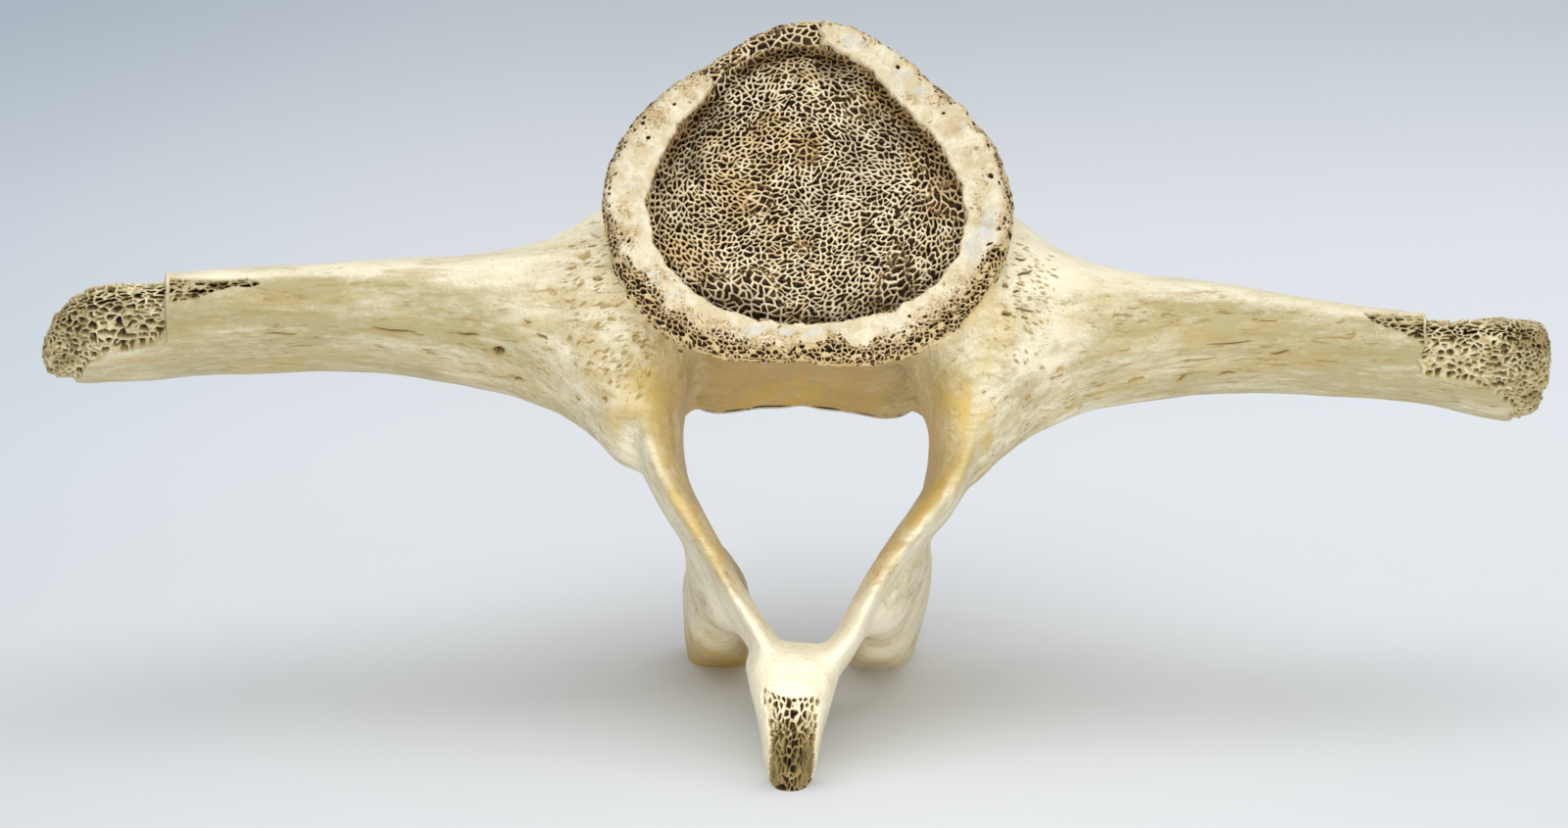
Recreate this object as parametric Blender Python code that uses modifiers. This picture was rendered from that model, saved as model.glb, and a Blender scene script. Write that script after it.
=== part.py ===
"""A whale vertebra, life size: a posterior thoracic vertebra of a beluga-sized whale.

It rests upside down, as a museum or a collector stands it: on the cut end of its neural
spine in front and on the two metapophyses behind, with the tail-side end of the centrum
facing -Y. The bone is first modelled whole in its own anatomical frame (millimetres: +X to
the right of the picture, +Y towards the whale's head, +Z towards its belly, origin in the
middle of the centrum's tail-side face), then turned into the resting pose, cut flat on the
floor and parted with thin cuts into its named regions.
"""

import math

import bmesh
import bpy
import numpy as np
from mathutils import Matrix, Vector

MM = 0.001

# Centrum, the drum of the vertebra
CENTRUM_LENGTH = 86.0
PLATE_THICKNESS = 4.0       # each epiphysis, the plate of bone on an end of the drum
WAIST = 0.85                # narrowest section of the drum, as a share of its ends
HEAD_SHIFT = 1.5            # of the drum's head-side end, to the right
BROKEN_FROM, BROKEN_TO = 87.0, 130.0    # degrees round, the tail-side plate's broken stretch
BROKEN_DEPTH = 2.6
CUT = 0.3                   # width of the thin cuts that part the regions

# Resting pose
PITCH = math.radians(22.5)  # the head end dips this much
ROLL = math.radians(1.6)    # and the right side this much
FLOOR_HEIGHT = 140.6        # of the anatomical origin above the floor
CENTRE_BACK = -20.0           # puts the middle of the resting bone's box on the Z axis
CENTRE_SIDE = 2.8

# Transverse processes: flattened bars whose head-side edge lies lower. Each section is an
# upright slice at one distance out from the middle.
PROCESS_SECTIONS = (
    # out, middle z, half width, half thickness, tilt in degrees
    (27.0, -24.0, 12.0, 11.0, 8.0),
    (33.0, -28.0, 20.0, 21.0, 9.0),
    (38.5, -32.6, 26.5, 34.8, 10.5),
    (46.0, -31.0, 31.0, 37.0, 13.0),
    (54.0, -28.6, 31.0, 30.8, 18.0),
    (62.0, -28.6, 29.0, 23.8, 20.0),
    (68.0, -28.9, 28.0, 20.0, 20.0),
    (75.0, -28.8, 27.0, 16.6, 20.0),
    (82.0, -28.7, 26.0, 14.5, 20.0),
    (92.0, -28.5, 25.0, 12.5, 20.0),
    (105.0, -28.1, 24.0, 10.8, 20.0),
    (118.0, -28.4, 23.3, 9.4, 20.0),
    (130.0, -29.1, 22.8, 8.6, 20.0),
    (142.0, -30.1, 22.5, 8.1, 20.0),
    (155.0, -31.1, 22.3, 7.7, 20.0),
    (166.0, -32.1, 22.5, 7.6, 20.0),
    (178.0, -33.4, 22.8, 7.6, 20.0),
    (200.0, -36.2, 22.6, 7.6, 20.0),
)
PROCESS_MIDDLE = 38.0       # of every section, back from the tail-side face
PROCESS_STOUTNESS = {       # how much bigger than the table each side is, at a distance out
    "left": ((60.0, 0.93), (80.0, 0.97), (110.0, 0.98), (150.0, 1.06), (172.0, 1.05), (186.0, 0.97)),
    "right": ((60.0, 1.0), (80.0, 0.98), (110.0, 0.97), (150.0, 0.90), (168.0, 0.89), (184.0, 1.06)),
}
PROCESS_DROOP = {"left": -1.0, "right": 1.4}    # of the middle at the very end
PROCESS_CORNER = 8.0        # how far below the middle the very end's middle is
PROCESS_END = {             # where the end starts to round off, the very end, how square it is
    "left": (183.0, 199.6, 2.0),
    "right": (189.5, 196.4, 3.0),
}

# Neural arch: one side's plate, followed from the drum down to the spine
ARCH_SECTIONS = (
    # out, z, half thickness, tail-side edge y, head-side edge y, and how thick the tail-side
    # edge is as a share of the full thickness
    (37.0, -28.0, 7.0, 14.0, 80.0, 0.32),
    (39.0, -44.0, 7.5, 12.5, 80.0, 0.30),
    (39.3, -57.0, 6.8, 12.0, 77.0, 0.32),
    (35.4, -70.5, 5.0, 11.0, 73.0, 0.34),
    (28.8, -81.0, 4.0, 9.0, 69.0, 0.34),
    (22.2, -91.0, 3.6, 7.0, 65.0, 0.34),
    (16.2, -101.5, 3.5, 4.5, 61.0, 0.36),
    (9.6, -113.0, 3.7, 3.0, 58.0, 0.40),
    (3.0, -121.0, 5.0, 3.0, 55.0, 0.60),
)
ARCH_LEAN = ((-115.0, 2.4), (-110.0, 2.8), (-104.0, 2.0), (-97.0, 1.4), (-82.0, 2.0), (-73.0, 2.7),
             (-40.0, 2.4))
                            # to the right, at a z
ARCH_FULL = 0.1             # where the plate has its full thickness, from -1 at the front to 1
CANAL_CORNER = (
    # y, out, z, size
    (14.0, 39.0, -27.0, 3.0),
    (20.0, 36.6, -26.5, 6.0),
    (28.0, 34.6, -26.8, 9.5),
    (36.0, 33.5, -27.3, 12.0),
    (46.0, 33.0, -27.8, 13.0),
    (56.0, 33.0, -28.8, 13.0),
    (64.0, 33.0, -30.4, 13.0),
    (72.0, 33.2, -33.3, 12.5),
    (79.0, 33.4, -36.8, 12.0),
    (81.5, 33.4, -38.5, 11.5),
)

# Neural spine, sawn off short: level sections down from the roof of the arch
SPINE_SECTIONS = (
    # z, half width, tail-side edge y, head-side edge y
    (-112.5, 7.0, 12.0, 56.0),
    (-115.2, 12.2, 6.5, 55.0),
    (-118.0, 14.0, 2.0, 54.0),
    (-122.0, 13.2, -1.2, 53.0),
    (-126.0, 11.9, -2.8, 52.0),
    (-131.0, 10.3, -3.1, 50.0),
    (-137.0, 8.7, -2.3, 48.0),
    (-143.0, 7.4, -0.9, 47.0),
    (-149.0, 6.2, 0.8, 46.0),
    (-156.0, 5.0, 2.5, 45.0),
    (-166.0, 4.2, 4.5, 44.0),
)

# Metapophyses: the two blunt feet that reach towards the head, in upright slices
METAPOPHYSIS_SECTIONS = (
    # out, y, z, half thickness, half height, how much further out the top is than the middle
    (22.6, 34.0, -94.0, 3.2, 11.5, 6.8),
    (24.2, 48.0, -94.4, 5.0, 12.8, 5.4),
    (24.6, 60.0, -94.2, 6.2, 13.0, 4.8),
    (24.4, 66.0, -94.8, 6.8, 14.0, 4.6),
    (24.0, 73.0, -97.0, 7.6, 14.8, 4.2),
    (23.4, 85.0, -98.6, 9.0, 13.8, 3.6),
    (23.3, 96.0, -99.4, 9.3, 13.4, 3.2),
    (23.3, 105.0, -101.5, 9.0, 13.8, 3.0),
    (23.4, 110.5, -103.5, 7.0, 9.5, 2.0),
    (23.4, 113.0, -104.0, 3.8, 5.0, 2.0),
)
METAPOPHYSIS_SLANT = {"left": 0.4, "right": 1.15}
METAPOPHYSIS_LEAN = 3.2     # of both, to the right

VOXEL = 1.4                 # of the mesh that joins the regions into one bone
FAIRING = 7                 # passes that round the joins
BONE_TRIANGLES = 5800

IVORY = (0.74, 0.65, 0.45)
PALE = (0.80, 0.73, 0.56)


# ---- outlines -------------------------------------------------------------------------

def end_radius(angle):
    """The drum's tail-side outline: a rounded triangle, wide at the neural canal's side."""
    return (
        47.9
        + 0.5 * np.cos(angle) - 0.9 * np.sin(angle)
        + 3.8 * np.cos(2 * angle) + 0.2 * np.sin(2 * angle)
        - 2.3 * np.sin(3 * angle)
        + 0.6 * np.cos(4 * angle) - 0.2 * np.sin(4 * angle)
        + 0.3 * np.cos(5 * angle) + 0.8 * np.sin(5 * angle)
        - 1.0 * bump(angle, 270, 5)
    )


def head_radius(angle):
    """The drum's head-side outline, flatter along the canal and square at its corners."""
    corners = bump(angle, 239, 12) + bump(angle, 301, 12)
    return end_radius(angle) + 4.8 * corners + 1.2 * bump(angle, 270, 25)


def ring_radius(angle):
    """The edge of the tail-side plate, which falls short of the drum's edge below."""
    below = np.clip(-1.4 * np.sin(angle), 0.0, 1.0)
    return end_radius(angle) * (0.995 - 0.075 * below + 0.05 * bump(angle, 270, 8))


def hole_radius(angle):
    """The outline of the hole in the tail-side plate, where the spongy bone is bare."""
    return (
        37.6
        - 0.2 * np.cos(angle) + 1.4 * np.sin(angle)
        + 1.9 * np.cos(2 * angle) - 0.65 * np.sin(2 * angle)
        + 0.6 * np.cos(3 * angle) - 2.5 * np.sin(3 * angle)
        + 0.9 * np.cos(4 * angle)
    )


def bump(angle, middle, width):
    """1 at an angle in degrees, falling off over a width on either side of it."""
    off = (angle - math.radians(middle) + math.pi) % (2 * math.pi) - math.pi
    return np.exp(-((off / math.radians(width)) ** 2))


def broken(angle):
    """1 where the tail-side plate is broken away at its upper left, and 0 elsewhere."""
    middle = math.radians((BROKEN_FROM + BROKEN_TO) / 2)
    half = math.radians((BROKEN_TO - BROKEN_FROM) / 2)
    return np.clip(5.0 - 5.0 * np.abs(angle - middle) / half, 0.0, 1.0)


def ring_of(count):
    return np.arange(count) * (2 * math.pi / count)


def rounded(angle, squareness):
    """Cosine and sine of a superellipse: squareness 2 is round, and more is squarer."""
    c, s = np.cos(angle), np.sin(angle)
    power = 2.0 / squareness
    return np.sign(c) * np.abs(c) ** power, np.sign(s) * np.abs(s) ** power


# ---- mesh building --------------------------------------------------------------------

def between(sections, steps):
    """Sections in between the given ones, on a smooth curve (Catmull-Rom) through them."""
    rows = np.array(sections, float)
    padded = np.vstack([2 * rows[0] - rows[1], rows, 2 * rows[-1] - rows[-2]])
    found = []
    for i in range(1, len(padded) - 2):
        p0, p1, p2, p3 = padded[i - 1:i + 3]
        for t in np.linspace(0, 1, steps, endpoint=False):
            found.append(
                p1 + 0.5 * t * (p2 - p0 + t * (2 * p0 - 5 * p1 + 4 * p2 - p3
                                               + t * (3 * (p1 - p2) + p3 - p0)))
            )
    found.append(rows[-1])
    return np.array(found)


def lofted(name, rings, turned=False):
    """A closed object through rings of equally many points, each an (n, 3) array in mm.

    Its ends are capped or, where the rings turn about a section, the last meets the first.
    """
    points = np.concatenate(rings) * MM
    n, count = len(rings[0]), len(rings)
    faces = []
    if not turned:
        faces = [tuple(range(n)), tuple(reversed(range((count - 1) * n, count * n)))]
    for i in range(count if turned else count - 1):
        here, there = i * n, (i + 1) % count * n
        for j in range(n):
            k = (j + 1) % n
            faces.append((here + j, there + j, there + k, here + k))
    mesh = bpy.data.meshes.new(name)
    mesh.from_pydata(points.tolist(), [], faces)
    bm = bmesh.new()
    bm.from_mesh(mesh)
    bmesh.ops.recalc_face_normals(bm, faces=bm.faces)
    bm.to_mesh(mesh)
    bm.free()
    obj = bpy.data.objects.new(name, mesh)
    return obj


def drum_rings(sides=96):
    """The drum between its two plates, with a waist and its edges turned out a little."""
    angle = ring_of(sides)
    first, last = PLATE_THICKNESS + CUT, CENTRUM_LENGTH - PLATE_THICKNESS - CUT
    rings = []
    for t in np.linspace(0, 1, 25):
        swell = abs(2 * t - 1) ** 2.6
        share = WAIST + (1.02 - WAIST) * swell
        radius = share * ((1 - t) * end_radius(angle) + t * head_radius(angle))
        rings.append(np.column_stack([
            radius * np.cos(angle) + HEAD_SHIFT * t,
            np.full(sides, first + t * (last - first)),
            radius * np.sin(angle),
        ]))
    return rings


def process_rings(side, sides=40):
    """A transverse process, swelling into the drum and the arch at its root."""
    sign = -1 if side == "left" else 1
    stoutness = np.array(PROCESS_STOUTNESS[side])
    start, reach, square = PROCESS_END[side]
    rows = between(PROCESS_SECTIONS, 5)
    table = lambda out, column: np.interp(out, rows[:, 0], rows[:, column])
    along = [out for out in rows[:, 0] if out < start]
    along += [start + (reach - start) * math.sin(t) for t in np.linspace(0, 1.47, 10)]
    angle = ring_of(sides)
    c, s = rounded(angle, 2.3)
    rings = []
    for out in along:
        drawn = (1 - max(0.0, (out - start) / (reach - start)) ** square) ** (1 / square)
        size = np.interp(out, *stoutness.T) * drawn
        wide, thick = table(out, 2) * size, table(out, 3) * size
        tilt = math.radians(table(out, 4))
        z = table(out, 1) + PROCESS_DROOP[side] * (max(0.0, out - 150) / 45) ** 2
        z -= PROCESS_CORNER * (1 - drawn)
        rings.append(np.column_stack([
            np.full(sides, sign * out),
            PROCESS_MIDDLE + wide * c * math.cos(tilt) + thick * s * math.sin(tilt),
            z - wide * c * math.sin(tilt) + thick * s * math.cos(tilt),
        ]))
    return rings


def arch_rings(side, sides=32):
    """One side of the arch: a plate from the drum round to the spine, with a crest."""
    sign = -1 if side == "left" else 1
    rows = between(ARCH_SECTIONS, 4)
    along = np.gradient(rows[:, :2], axis=0)
    along /= np.linalg.norm(along, axis=1)[:, None]
    angle = ring_of(sides)
    c, s = rounded(angle, 3.0)
    rings = []
    for (out, z, half, front, back, edge), (d_out, d_z) in zip(rows, along):
        before = np.clip((ARCH_FULL - c) / (ARCH_FULL + 1), 0, 1)
        share = edge + (1 - edge) * np.sqrt(1 - before ** 2)
        across = half * (share * s + 0.8 * (1 - share))     # the outer face stays straight
        lean = np.interp(z, *np.array(ARCH_LEAN).T)
        rings.append(np.column_stack([
            sign * (out - across * d_z) + lean,
            (front + back) / 2 + (back - front) / 2 * c,
            z + across * d_out,
        ]))
    return rings


def corner_rings(side, sides=20):
    """A rib in the corner between the drum and the canal's side, hollow between its edges."""
    sign = -1 if side == "left" else 1
    angle = ring_of(sides)
    c, s = rounded(angle, 0.75)
    return [
        np.column_stack([
            sign * (out + size * c) + ARCH_LEAN[-1][1], np.full(sides, y), z + size * s,
        ])
        for y, out, z, size in between(CANAL_CORNER, 3)
    ]


def spine_rings(sides=32):
    angle = ring_of(sides)
    c, s = rounded(angle, 2.8)
    rings = []
    for z, half, front, back in between(SPINE_SECTIONS, 4):
        taper = 1 - 0.30 * (c + 1) / 2          # thinner towards the head
        rings.append(np.column_stack([
            half * taper * s,
            (front + back) / 2 + (back - front) / 2 * c,
            np.full(sides, z),
        ]))
    return rings


def metapophysis_rings(side, sides=32):
    sign = -1 if side == "left" else 1
    angle = ring_of(sides)
    rings = []
    for out, y, z, half, tall, slant in between(METAPOPHYSIS_SECTIONS, 4):
        c, s = rounded(angle, np.interp(y, (60.0, 96.0), (2.6, 4.2)))
        slant *= np.interp(y, (48.0, 73.0), (1.0, METAPOPHYSIS_SLANT[side]))
        rings.append(np.column_stack([
            sign * (out + half * c + slant * s) + METAPOPHYSIS_LEAN,
            np.full(sides, y),
            z + tall * s,
        ]))
    return rings


def ring_plate_rings(sides=80):
    """The tail-side plate as outlines that turn about its section, low where it is broken."""
    angle = ring_of(sides)
    outer, inner = ring_radius(angle), hole_radius(angle)
    top = BROKEN_DEPTH * broken(angle)
    profile = (
        # share of the way from the hole to the edge, share of the way from the face to the drum
        (0.0, 1.0), (0.0, 0.15), (0.06, 0.0), (0.72, 0.0), (0.92, 0.22), (1.0, 0.7), (0.99, 1.0),
    )
    rings = []
    for across, deep in profile:
        radius = inner + across * (outer - inner)
        y = top + deep * (PLATE_THICKNESS - top)
        rings.append(np.column_stack([radius * np.cos(angle), y, radius * np.sin(angle)]))
    return rings


def full_plate_rings(sides=80):
    """The head-side plate, slightly dished, from its face down to the drum."""
    angle = ring_of(sides)
    outer = head_radius(angle)
    profile = (
        # share of the outline, depth below the rim of the face
        (0.25, 1.3), (0.55, 0.8), (0.8, 0.1), (0.9, 0.0), (0.97, 0.7), (0.99, 2.4), (0.985, PLATE_THICKNESS),
    )
    return [
        np.column_stack([
            share * outer * np.cos(angle) + HEAD_SHIFT,
            np.full(sides, CENTRUM_LENGTH - deep),
            share * outer * np.sin(angle),
        ])
        for share, deep in profile
    ]


# ---- the bone -------------------------------------------------------------------------

def resting():
    """From the anatomical frame, in metres, to the resting pose."""
    turned = Matrix.Rotation(ROLL, 4, "Y") @ Matrix.Rotation(-PITCH, 4, "X")
    moved = Matrix.Translation(Vector((CENTRE_SIDE, CENTRE_BACK, FLOOR_HEIGHT)) * MM)
    return moved @ turned


def baked(obj, name):
    """The object's evaluated mesh as a new object; the old one is removed."""
    bpy.context.view_layer.update()
    graph = bpy.context.evaluated_depsgraph_get()
    mesh = bpy.data.meshes.new_from_object(obj.evaluated_get(graph))
    mesh.name = name
    made = bpy.data.objects.new(name, mesh)
    made.matrix_world = obj.matrix_world
    bpy.data.objects.remove(obj)
    bpy.context.scene.collection.objects.link(made)
    return made


def joined_bone():
    """Drum, processes, arch, spine and metapophyses as one faired surface."""
    parts = [lofted("drum", drum_rings()), lofted("spine", spine_rings())]
    for side in ("left", "right"):
        parts.append(lofted(f"{side}_process", process_rings(side)))
        parts.append(lofted(f"{side}_arch", arch_rings(side)))
        parts.append(lofted(f"{side}_corner", corner_rings(side)))
        parts.append(lofted(f"{side}_metapophysis", metapophysis_rings(side)))
    bm = bmesh.new()
    for part in parts:
        bm.from_mesh(part.data)
        bpy.data.objects.remove(part)
    mesh = bpy.data.meshes.new("bone")
    bm.to_mesh(mesh)
    bm.free()
    bone = bpy.data.objects.new("bone", mesh)
    bpy.context.scene.collection.objects.link(bone)
    remesh = bone.modifiers.new("join", "REMESH")
    remesh.mode = "VOXEL"
    remesh.voxel_size = VOXEL * MM
    fair = bone.modifiers.new("fair", "SMOOTH")
    fair.factor = 0.5
    fair.iterations = FAIRING
    return bone


def simplified(bone, triangles):
    """The bone with about this many triangles."""
    bone = baked(bone, "bone")
    now = sum(len(p.vertices) - 2 for p in bone.data.polygons)
    fewer = bone.modifiers.new("fewer", "DECIMATE")
    fewer.ratio = triangles / now
    return baked(bone, "bone")


def box(name, low, high):
    """A box in mm, low corner to high corner, as a cutter."""
    bpy.ops.mesh.primitive_cube_add(size=1)
    cutter = bpy.context.active_object
    cutter.name = name
    size = Vector(high) - Vector(low)
    middle = (Vector(high) + Vector(low)) / 2
    cutter.data.transform(Matrix.Translation(middle * MM) @ Matrix.Diagonal((*size * MM, 1)))
    cutter.display_type = "WIRE"
    cutter.hide_render = True
    return cutter


def put_in(collection, obj):
    for old in list(obj.users_collection):
        old.objects.unlink(obj)
    collection.objects.link(obj)


def cut(obj, cutter, operation):
    modifier = obj.modifiers.new(operation.lower(), "BOOLEAN")
    modifier.operation = operation
    modifier.object = cutter
    modifier.solver = "EXACT"


FAR = 400.0                 # beyond every part of the bone
PROCESS_CUT = 56.5          # out from the middle, clear of the drum's ends
ARCH_CUT = -46.0            # below the drum
SPINE_CUT = -108.0          # just above the roof of the arch
SPINE_BACK = 64.0           # behind the spine's root, before the metapophyses reach as low
FOOT_CUT = 73.6             # at the back of the arch
FOOT_TOP = -72.0            # above all of the metapophyses' roots


def regions():
    """Each named region as the box that holds it, in the anatomical frame."""
    g = CUT / 2
    return {
        "centrum": ((-PROCESS_CUT + g, -FAR, ARCH_CUT + g), (PROCESS_CUT - g, FAR, FAR)),
        "left_transverse_process": ((-FAR, -FAR, -FAR), (-PROCESS_CUT - g, FAR, FAR)),
        "right_transverse_process": ((PROCESS_CUT + g, -FAR, -FAR), (FAR, FAR, FAR)),
        "left_neural_arch": (
            (-PROCESS_CUT + g, -FAR, -FAR), (0.0, FAR, ARCH_CUT - g)),
        "right_neural_arch": (
            (0.0, -FAR, -FAR), (PROCESS_CUT - g, FAR, ARCH_CUT - g)),
        "neural_spine": (
            (-PROCESS_CUT + g, -FAR, -FAR), (PROCESS_CUT - g, SPINE_BACK - g, SPINE_CUT - g)),
        "left_metapophysis": (
            (-PROCESS_CUT + g, FOOT_CUT + g, -FAR), (0.0, FAR, FOOT_TOP - g)),
        "right_metapophysis": (
            (0.0, FOOT_CUT + g, -FAR), (PROCESS_CUT - g, FAR, FOOT_TOP - g)),
    }


def material(name, colour, roughness):
    made = bpy.data.materials.new(name)
    made.use_nodes = True
    shader = made.node_tree.nodes["Principled BSDF"]
    shader.inputs["Base Color"].default_value = (*colour, 1)
    shader.inputs["Roughness"].default_value = roughness
    shader.inputs["Metallic"].default_value = 0
    return made


def finished(obj, finish):
    """Smooth shading with the cut edges kept sharp, and the region's material."""
    obj.data.materials.clear()
    obj.data.materials.append(finish)
    obj.data.shade_smooth()
    obj.data.set_sharp_from_angle(angle=math.radians(50))
    return obj


def main():
    for obj in list(bpy.data.objects):
        bpy.data.objects.remove(obj)
    vertebra = bpy.data.collections.new("whale_vertebra")
    cutters = bpy.data.collections.new("cutters")
    cutters.hide_render = True
    for collection in (vertebra, cutters):
        bpy.context.scene.collection.children.link(collection)
    cortex = material("cortical_bone", IVORY, 0.6)
    plate = material("epiphysis", PALE, 0.65)
    rest = resting()

    bone = simplified(joined_bone(), BONE_TRIANGLES)
    bone.matrix_world = rest
    floor = box("below_floor", (-FAR, -FAR, -FAR), (FAR, FAR, 0.0))
    put_in(cutters, floor)
    g = CUT / 2
    behind = box("behind_the_arch", (-FAR, FOOT_CUT - g, -FAR), (FAR, FAR, FOOT_TOP + g))
    under = box("under_the_arch", (-FAR, -FAR, -FAR), (FAR, SPINE_BACK + g, SPINE_CUT + g))
    for cutter in (behind, under):
        cutter.matrix_world = rest
        put_in(cutters, cutter)
    for name, (low, high) in regions().items():
        part = bone.copy()
        part.data = bone.data.copy()
        part.name = name
        vertebra.objects.link(part)
        region = box(f"region_of_{name}", low, high)
        region.matrix_world = rest
        put_in(cutters, region)
        cut(part, region, "INTERSECT")
        if name.endswith("neural_arch"):
            cut(part, behind, "DIFFERENCE")
            cut(part, under, "DIFFERENCE")
        cut(part, floor, "DIFFERENCE")
        finished(part, cortex)
    bpy.data.objects.remove(bone)

    ring = lofted("caudal_epiphysis", ring_plate_rings(), turned=True)
    full = lofted("cranial_epiphysis", full_plate_rings())
    for obj in (ring, full):
        obj.matrix_world = rest
        vertebra.objects.link(obj)
        finished(obj, plate)


main()
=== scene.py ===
"""The looks of a whale vertebra: weathered cortical bone, spongy bone bared at the sawn and
worn places, and the two epiphyses.

Everything is drawn in the bone's own anatomical frame in millimetres (+X to the right of the
picture, +Y towards the whale's head, +Z towards its belly, origin in the middle of the
centrum's tail-side face) and turned into the resting pose at the end.
"""

import math
from itertools import product

import bmesh
import bpy
import numpy as np
from mathutils import Matrix, Vector


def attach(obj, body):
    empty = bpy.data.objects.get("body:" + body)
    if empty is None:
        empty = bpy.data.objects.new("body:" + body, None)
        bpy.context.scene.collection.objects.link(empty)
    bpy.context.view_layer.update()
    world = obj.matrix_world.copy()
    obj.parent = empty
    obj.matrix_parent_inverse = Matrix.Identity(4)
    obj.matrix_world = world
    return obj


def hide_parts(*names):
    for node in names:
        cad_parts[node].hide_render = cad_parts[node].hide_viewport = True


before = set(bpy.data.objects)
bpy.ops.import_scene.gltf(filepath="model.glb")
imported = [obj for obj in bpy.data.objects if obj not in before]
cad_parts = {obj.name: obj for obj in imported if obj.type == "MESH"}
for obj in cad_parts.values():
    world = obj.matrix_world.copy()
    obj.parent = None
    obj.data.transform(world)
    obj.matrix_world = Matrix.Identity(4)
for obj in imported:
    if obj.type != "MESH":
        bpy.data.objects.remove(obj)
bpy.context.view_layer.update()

MM = 0.001

# ---- the bone's sizes, as the solid model has them --------

CENTRUM_LENGTH = 86.0
PLATE_THICKNESS = 4.0
WAIST = 0.85                # the drum's width there, as a share of its ends'
HEAD_SHIFT = 1.5            # of the head-side end, to the right
BROKEN_FROM, BROKEN_TO = 87.0, 130.0    # degrees, where the tail-side plate is gone
CUT = 0.3                   # between two regions

# the resting pose, and where the frame's origin is in it
PITCH = math.radians(22.5)
ROLL = math.radians(1.6)
ORIGIN = np.array([2.8, -20.0, 140.6])

SIGN = {"left": -1, "right": 1}

PROCESS_SECTIONS = (
    # out, middle z, half width, half thickness, tilt in degrees
    (27, -24, 12, 11, 8),
    (33, -28, 20, 21, 9),
    (38.5, -32.6, 26.5, 34.8, 10.5),
    (46, -31, 31, 37, 13),
    (54, -28.6, 31, 30.8, 18),
    (62, -28.6, 29, 23.8, 20),
    (68, -28.9, 28, 20, 20),
    (75, -28.8, 27, 16.6, 20),
    (82, -28.7, 26, 14.5, 20),
    (92, -28.5, 25, 12.5, 20),
    (105, -28.1, 24, 10.8, 20),
    (118, -28.4, 23.3, 9.4, 20),
    (130, -29.1, 22.8, 8.6, 20),
    (142, -30.1, 22.5, 8.1, 20),
    (155, -31.1, 22.3, 7.7, 20),
    (166, -32.1, 22.5, 7.6, 20),
    (178, -33.4, 22.8, 7.6, 20),
    (200, -36.2, 22.6, 7.6, 20),
)
PROCESS_MIDDLE = 38.0       # y
PROCESS_STOUTNESS = {        # how far out, share of the sections' size
    "left": ((60, 0.93), (80, 0.97), (110, 0.98), (150, 1.06), (172, 1.05),
             (186, 0.97)),
    "right": ((60, 1), (80, 0.98), (110, 0.97), (150, 0.90), (168, 0.89),
              (184, 1.06)),
}
PROCESS_DROOP = {"left": -1, "right": 1.4}       # of the outer end, to the belly
PROCESS_CORNER = 8.0        # how far the end's middle moves the other way
PROCESS_END = {             # where the end starts to round off, the very end, how square it is
    "left": (183, 199.6, 2),
    "right": (189.5, 196.4, 3),
}

ARCH_SECTIONS = (
    # out, z, half thickness, tail-side edge y, head-side edge y, and how thick the tail-side
    # edge is as a share of the full thickness
    (37, -28, 7, 14, 80, 0.32),
    (39, -44, 7.5, 12.5, 80, 0.30),
    (39.3, -57, 6.8, 12, 77, 0.32),
    (35.4, -70.5, 5, 11, 73, 0.34),
    (28.8, -81, 4, 9, 69, 0.34),
    (22.2, -91, 3.6, 7, 65, 0.34),
    (16.2, -101.5, 3.5, 4.5, 61, 0.36),
    (9.6, -113, 3.7, 3, 58, 0.40),
    (3, -121, 5, 3, 55, 0.60),
)
ARCH_LEAN = (               # z, and how far the arch lies to the right there
    (-115, 2.4), (-110, 2.8), (-104, 2), (-97, 1.4), (-82, 2), (-73, 2.7),
    (-40, 2.4),
)
ARCH_FULL = 0.1             # where the plate has its full thickness, from -1 at the front to 1
CANAL_CORNER = (
    # y, out, z, size
    (14, 39, -27, 3),
    (20, 36.6, -26.5, 6),
    (28, 34.6, -26.8, 9.5),
    (36, 33.5, -27.3, 12),
    (46, 33, -27.8, 13),
    (56, 33, -28.8, 13),
    (64, 33, -30.4, 13),
    (72, 33.2, -33.3, 12.5),
    (79, 33.4, -36.8, 12),
    (81.5, 33.4, -38.5, 11.5),
)

SPINE_SECTIONS = (
    # z, half width, tail-side edge y, head-side edge y
    (-112.5, 7, 12, 56),
    (-115.2, 12.2, 6.5, 55),
    (-118, 14, 2, 54),
    (-122, 13.2, -1.2, 53),
    (-126, 11.9, -2.8, 52),
    (-131, 10.3, -3.1, 50),
    (-137, 8.7, -2.3, 48),
    (-143, 7.4, -0.9, 47),
    (-149, 6.2, 0.8, 46),
    (-156, 5, 2.5, 45),
    (-166, 4.2, 4.5, 44),
)

METAPOPHYSIS_SECTIONS = (
    # out, y, z, half thickness, half height, how much further out the top is than the middle
    (22.6, 34, -94, 3.2, 11.5, 6.8),
    (24.2, 48, -94.4, 5, 12.8, 5.4),
    (24.6, 60, -94.2, 6.2, 13, 4.8),
    (24.4, 66, -94.8, 6.8, 14, 4.6),
    (24, 73, -97, 7.6, 14.8, 4.2),
    (23.4, 85, -98.6, 9, 13.8, 3.6),
    (23.3, 96, -99.4, 9.3, 13.4, 3.2),
    (23.3, 105, -101.5, 9, 13.8, 3),
    (23.4, 110.5, -103.5, 7, 9.5, 2),
    (23.4, 113, -104, 3.8, 5, 2),
)
METAPOPHYSIS_SLANT = {"left": 0.4, "right": 1.15}   # share of the last column, at the end
METAPOPHYSIS_LEAN = 3.2     # of both, to the right

# where the pieces are parted
PROCESS_CUT = 56.5
ARCH_CUT = -46.0
SPINE_CUT, SPINE_BACK = -108, 64.0
FOOT_CUT = 73.6
FOOT_TOP = -72.0

# ---- how finely it is drawn -------------------------------

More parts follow.
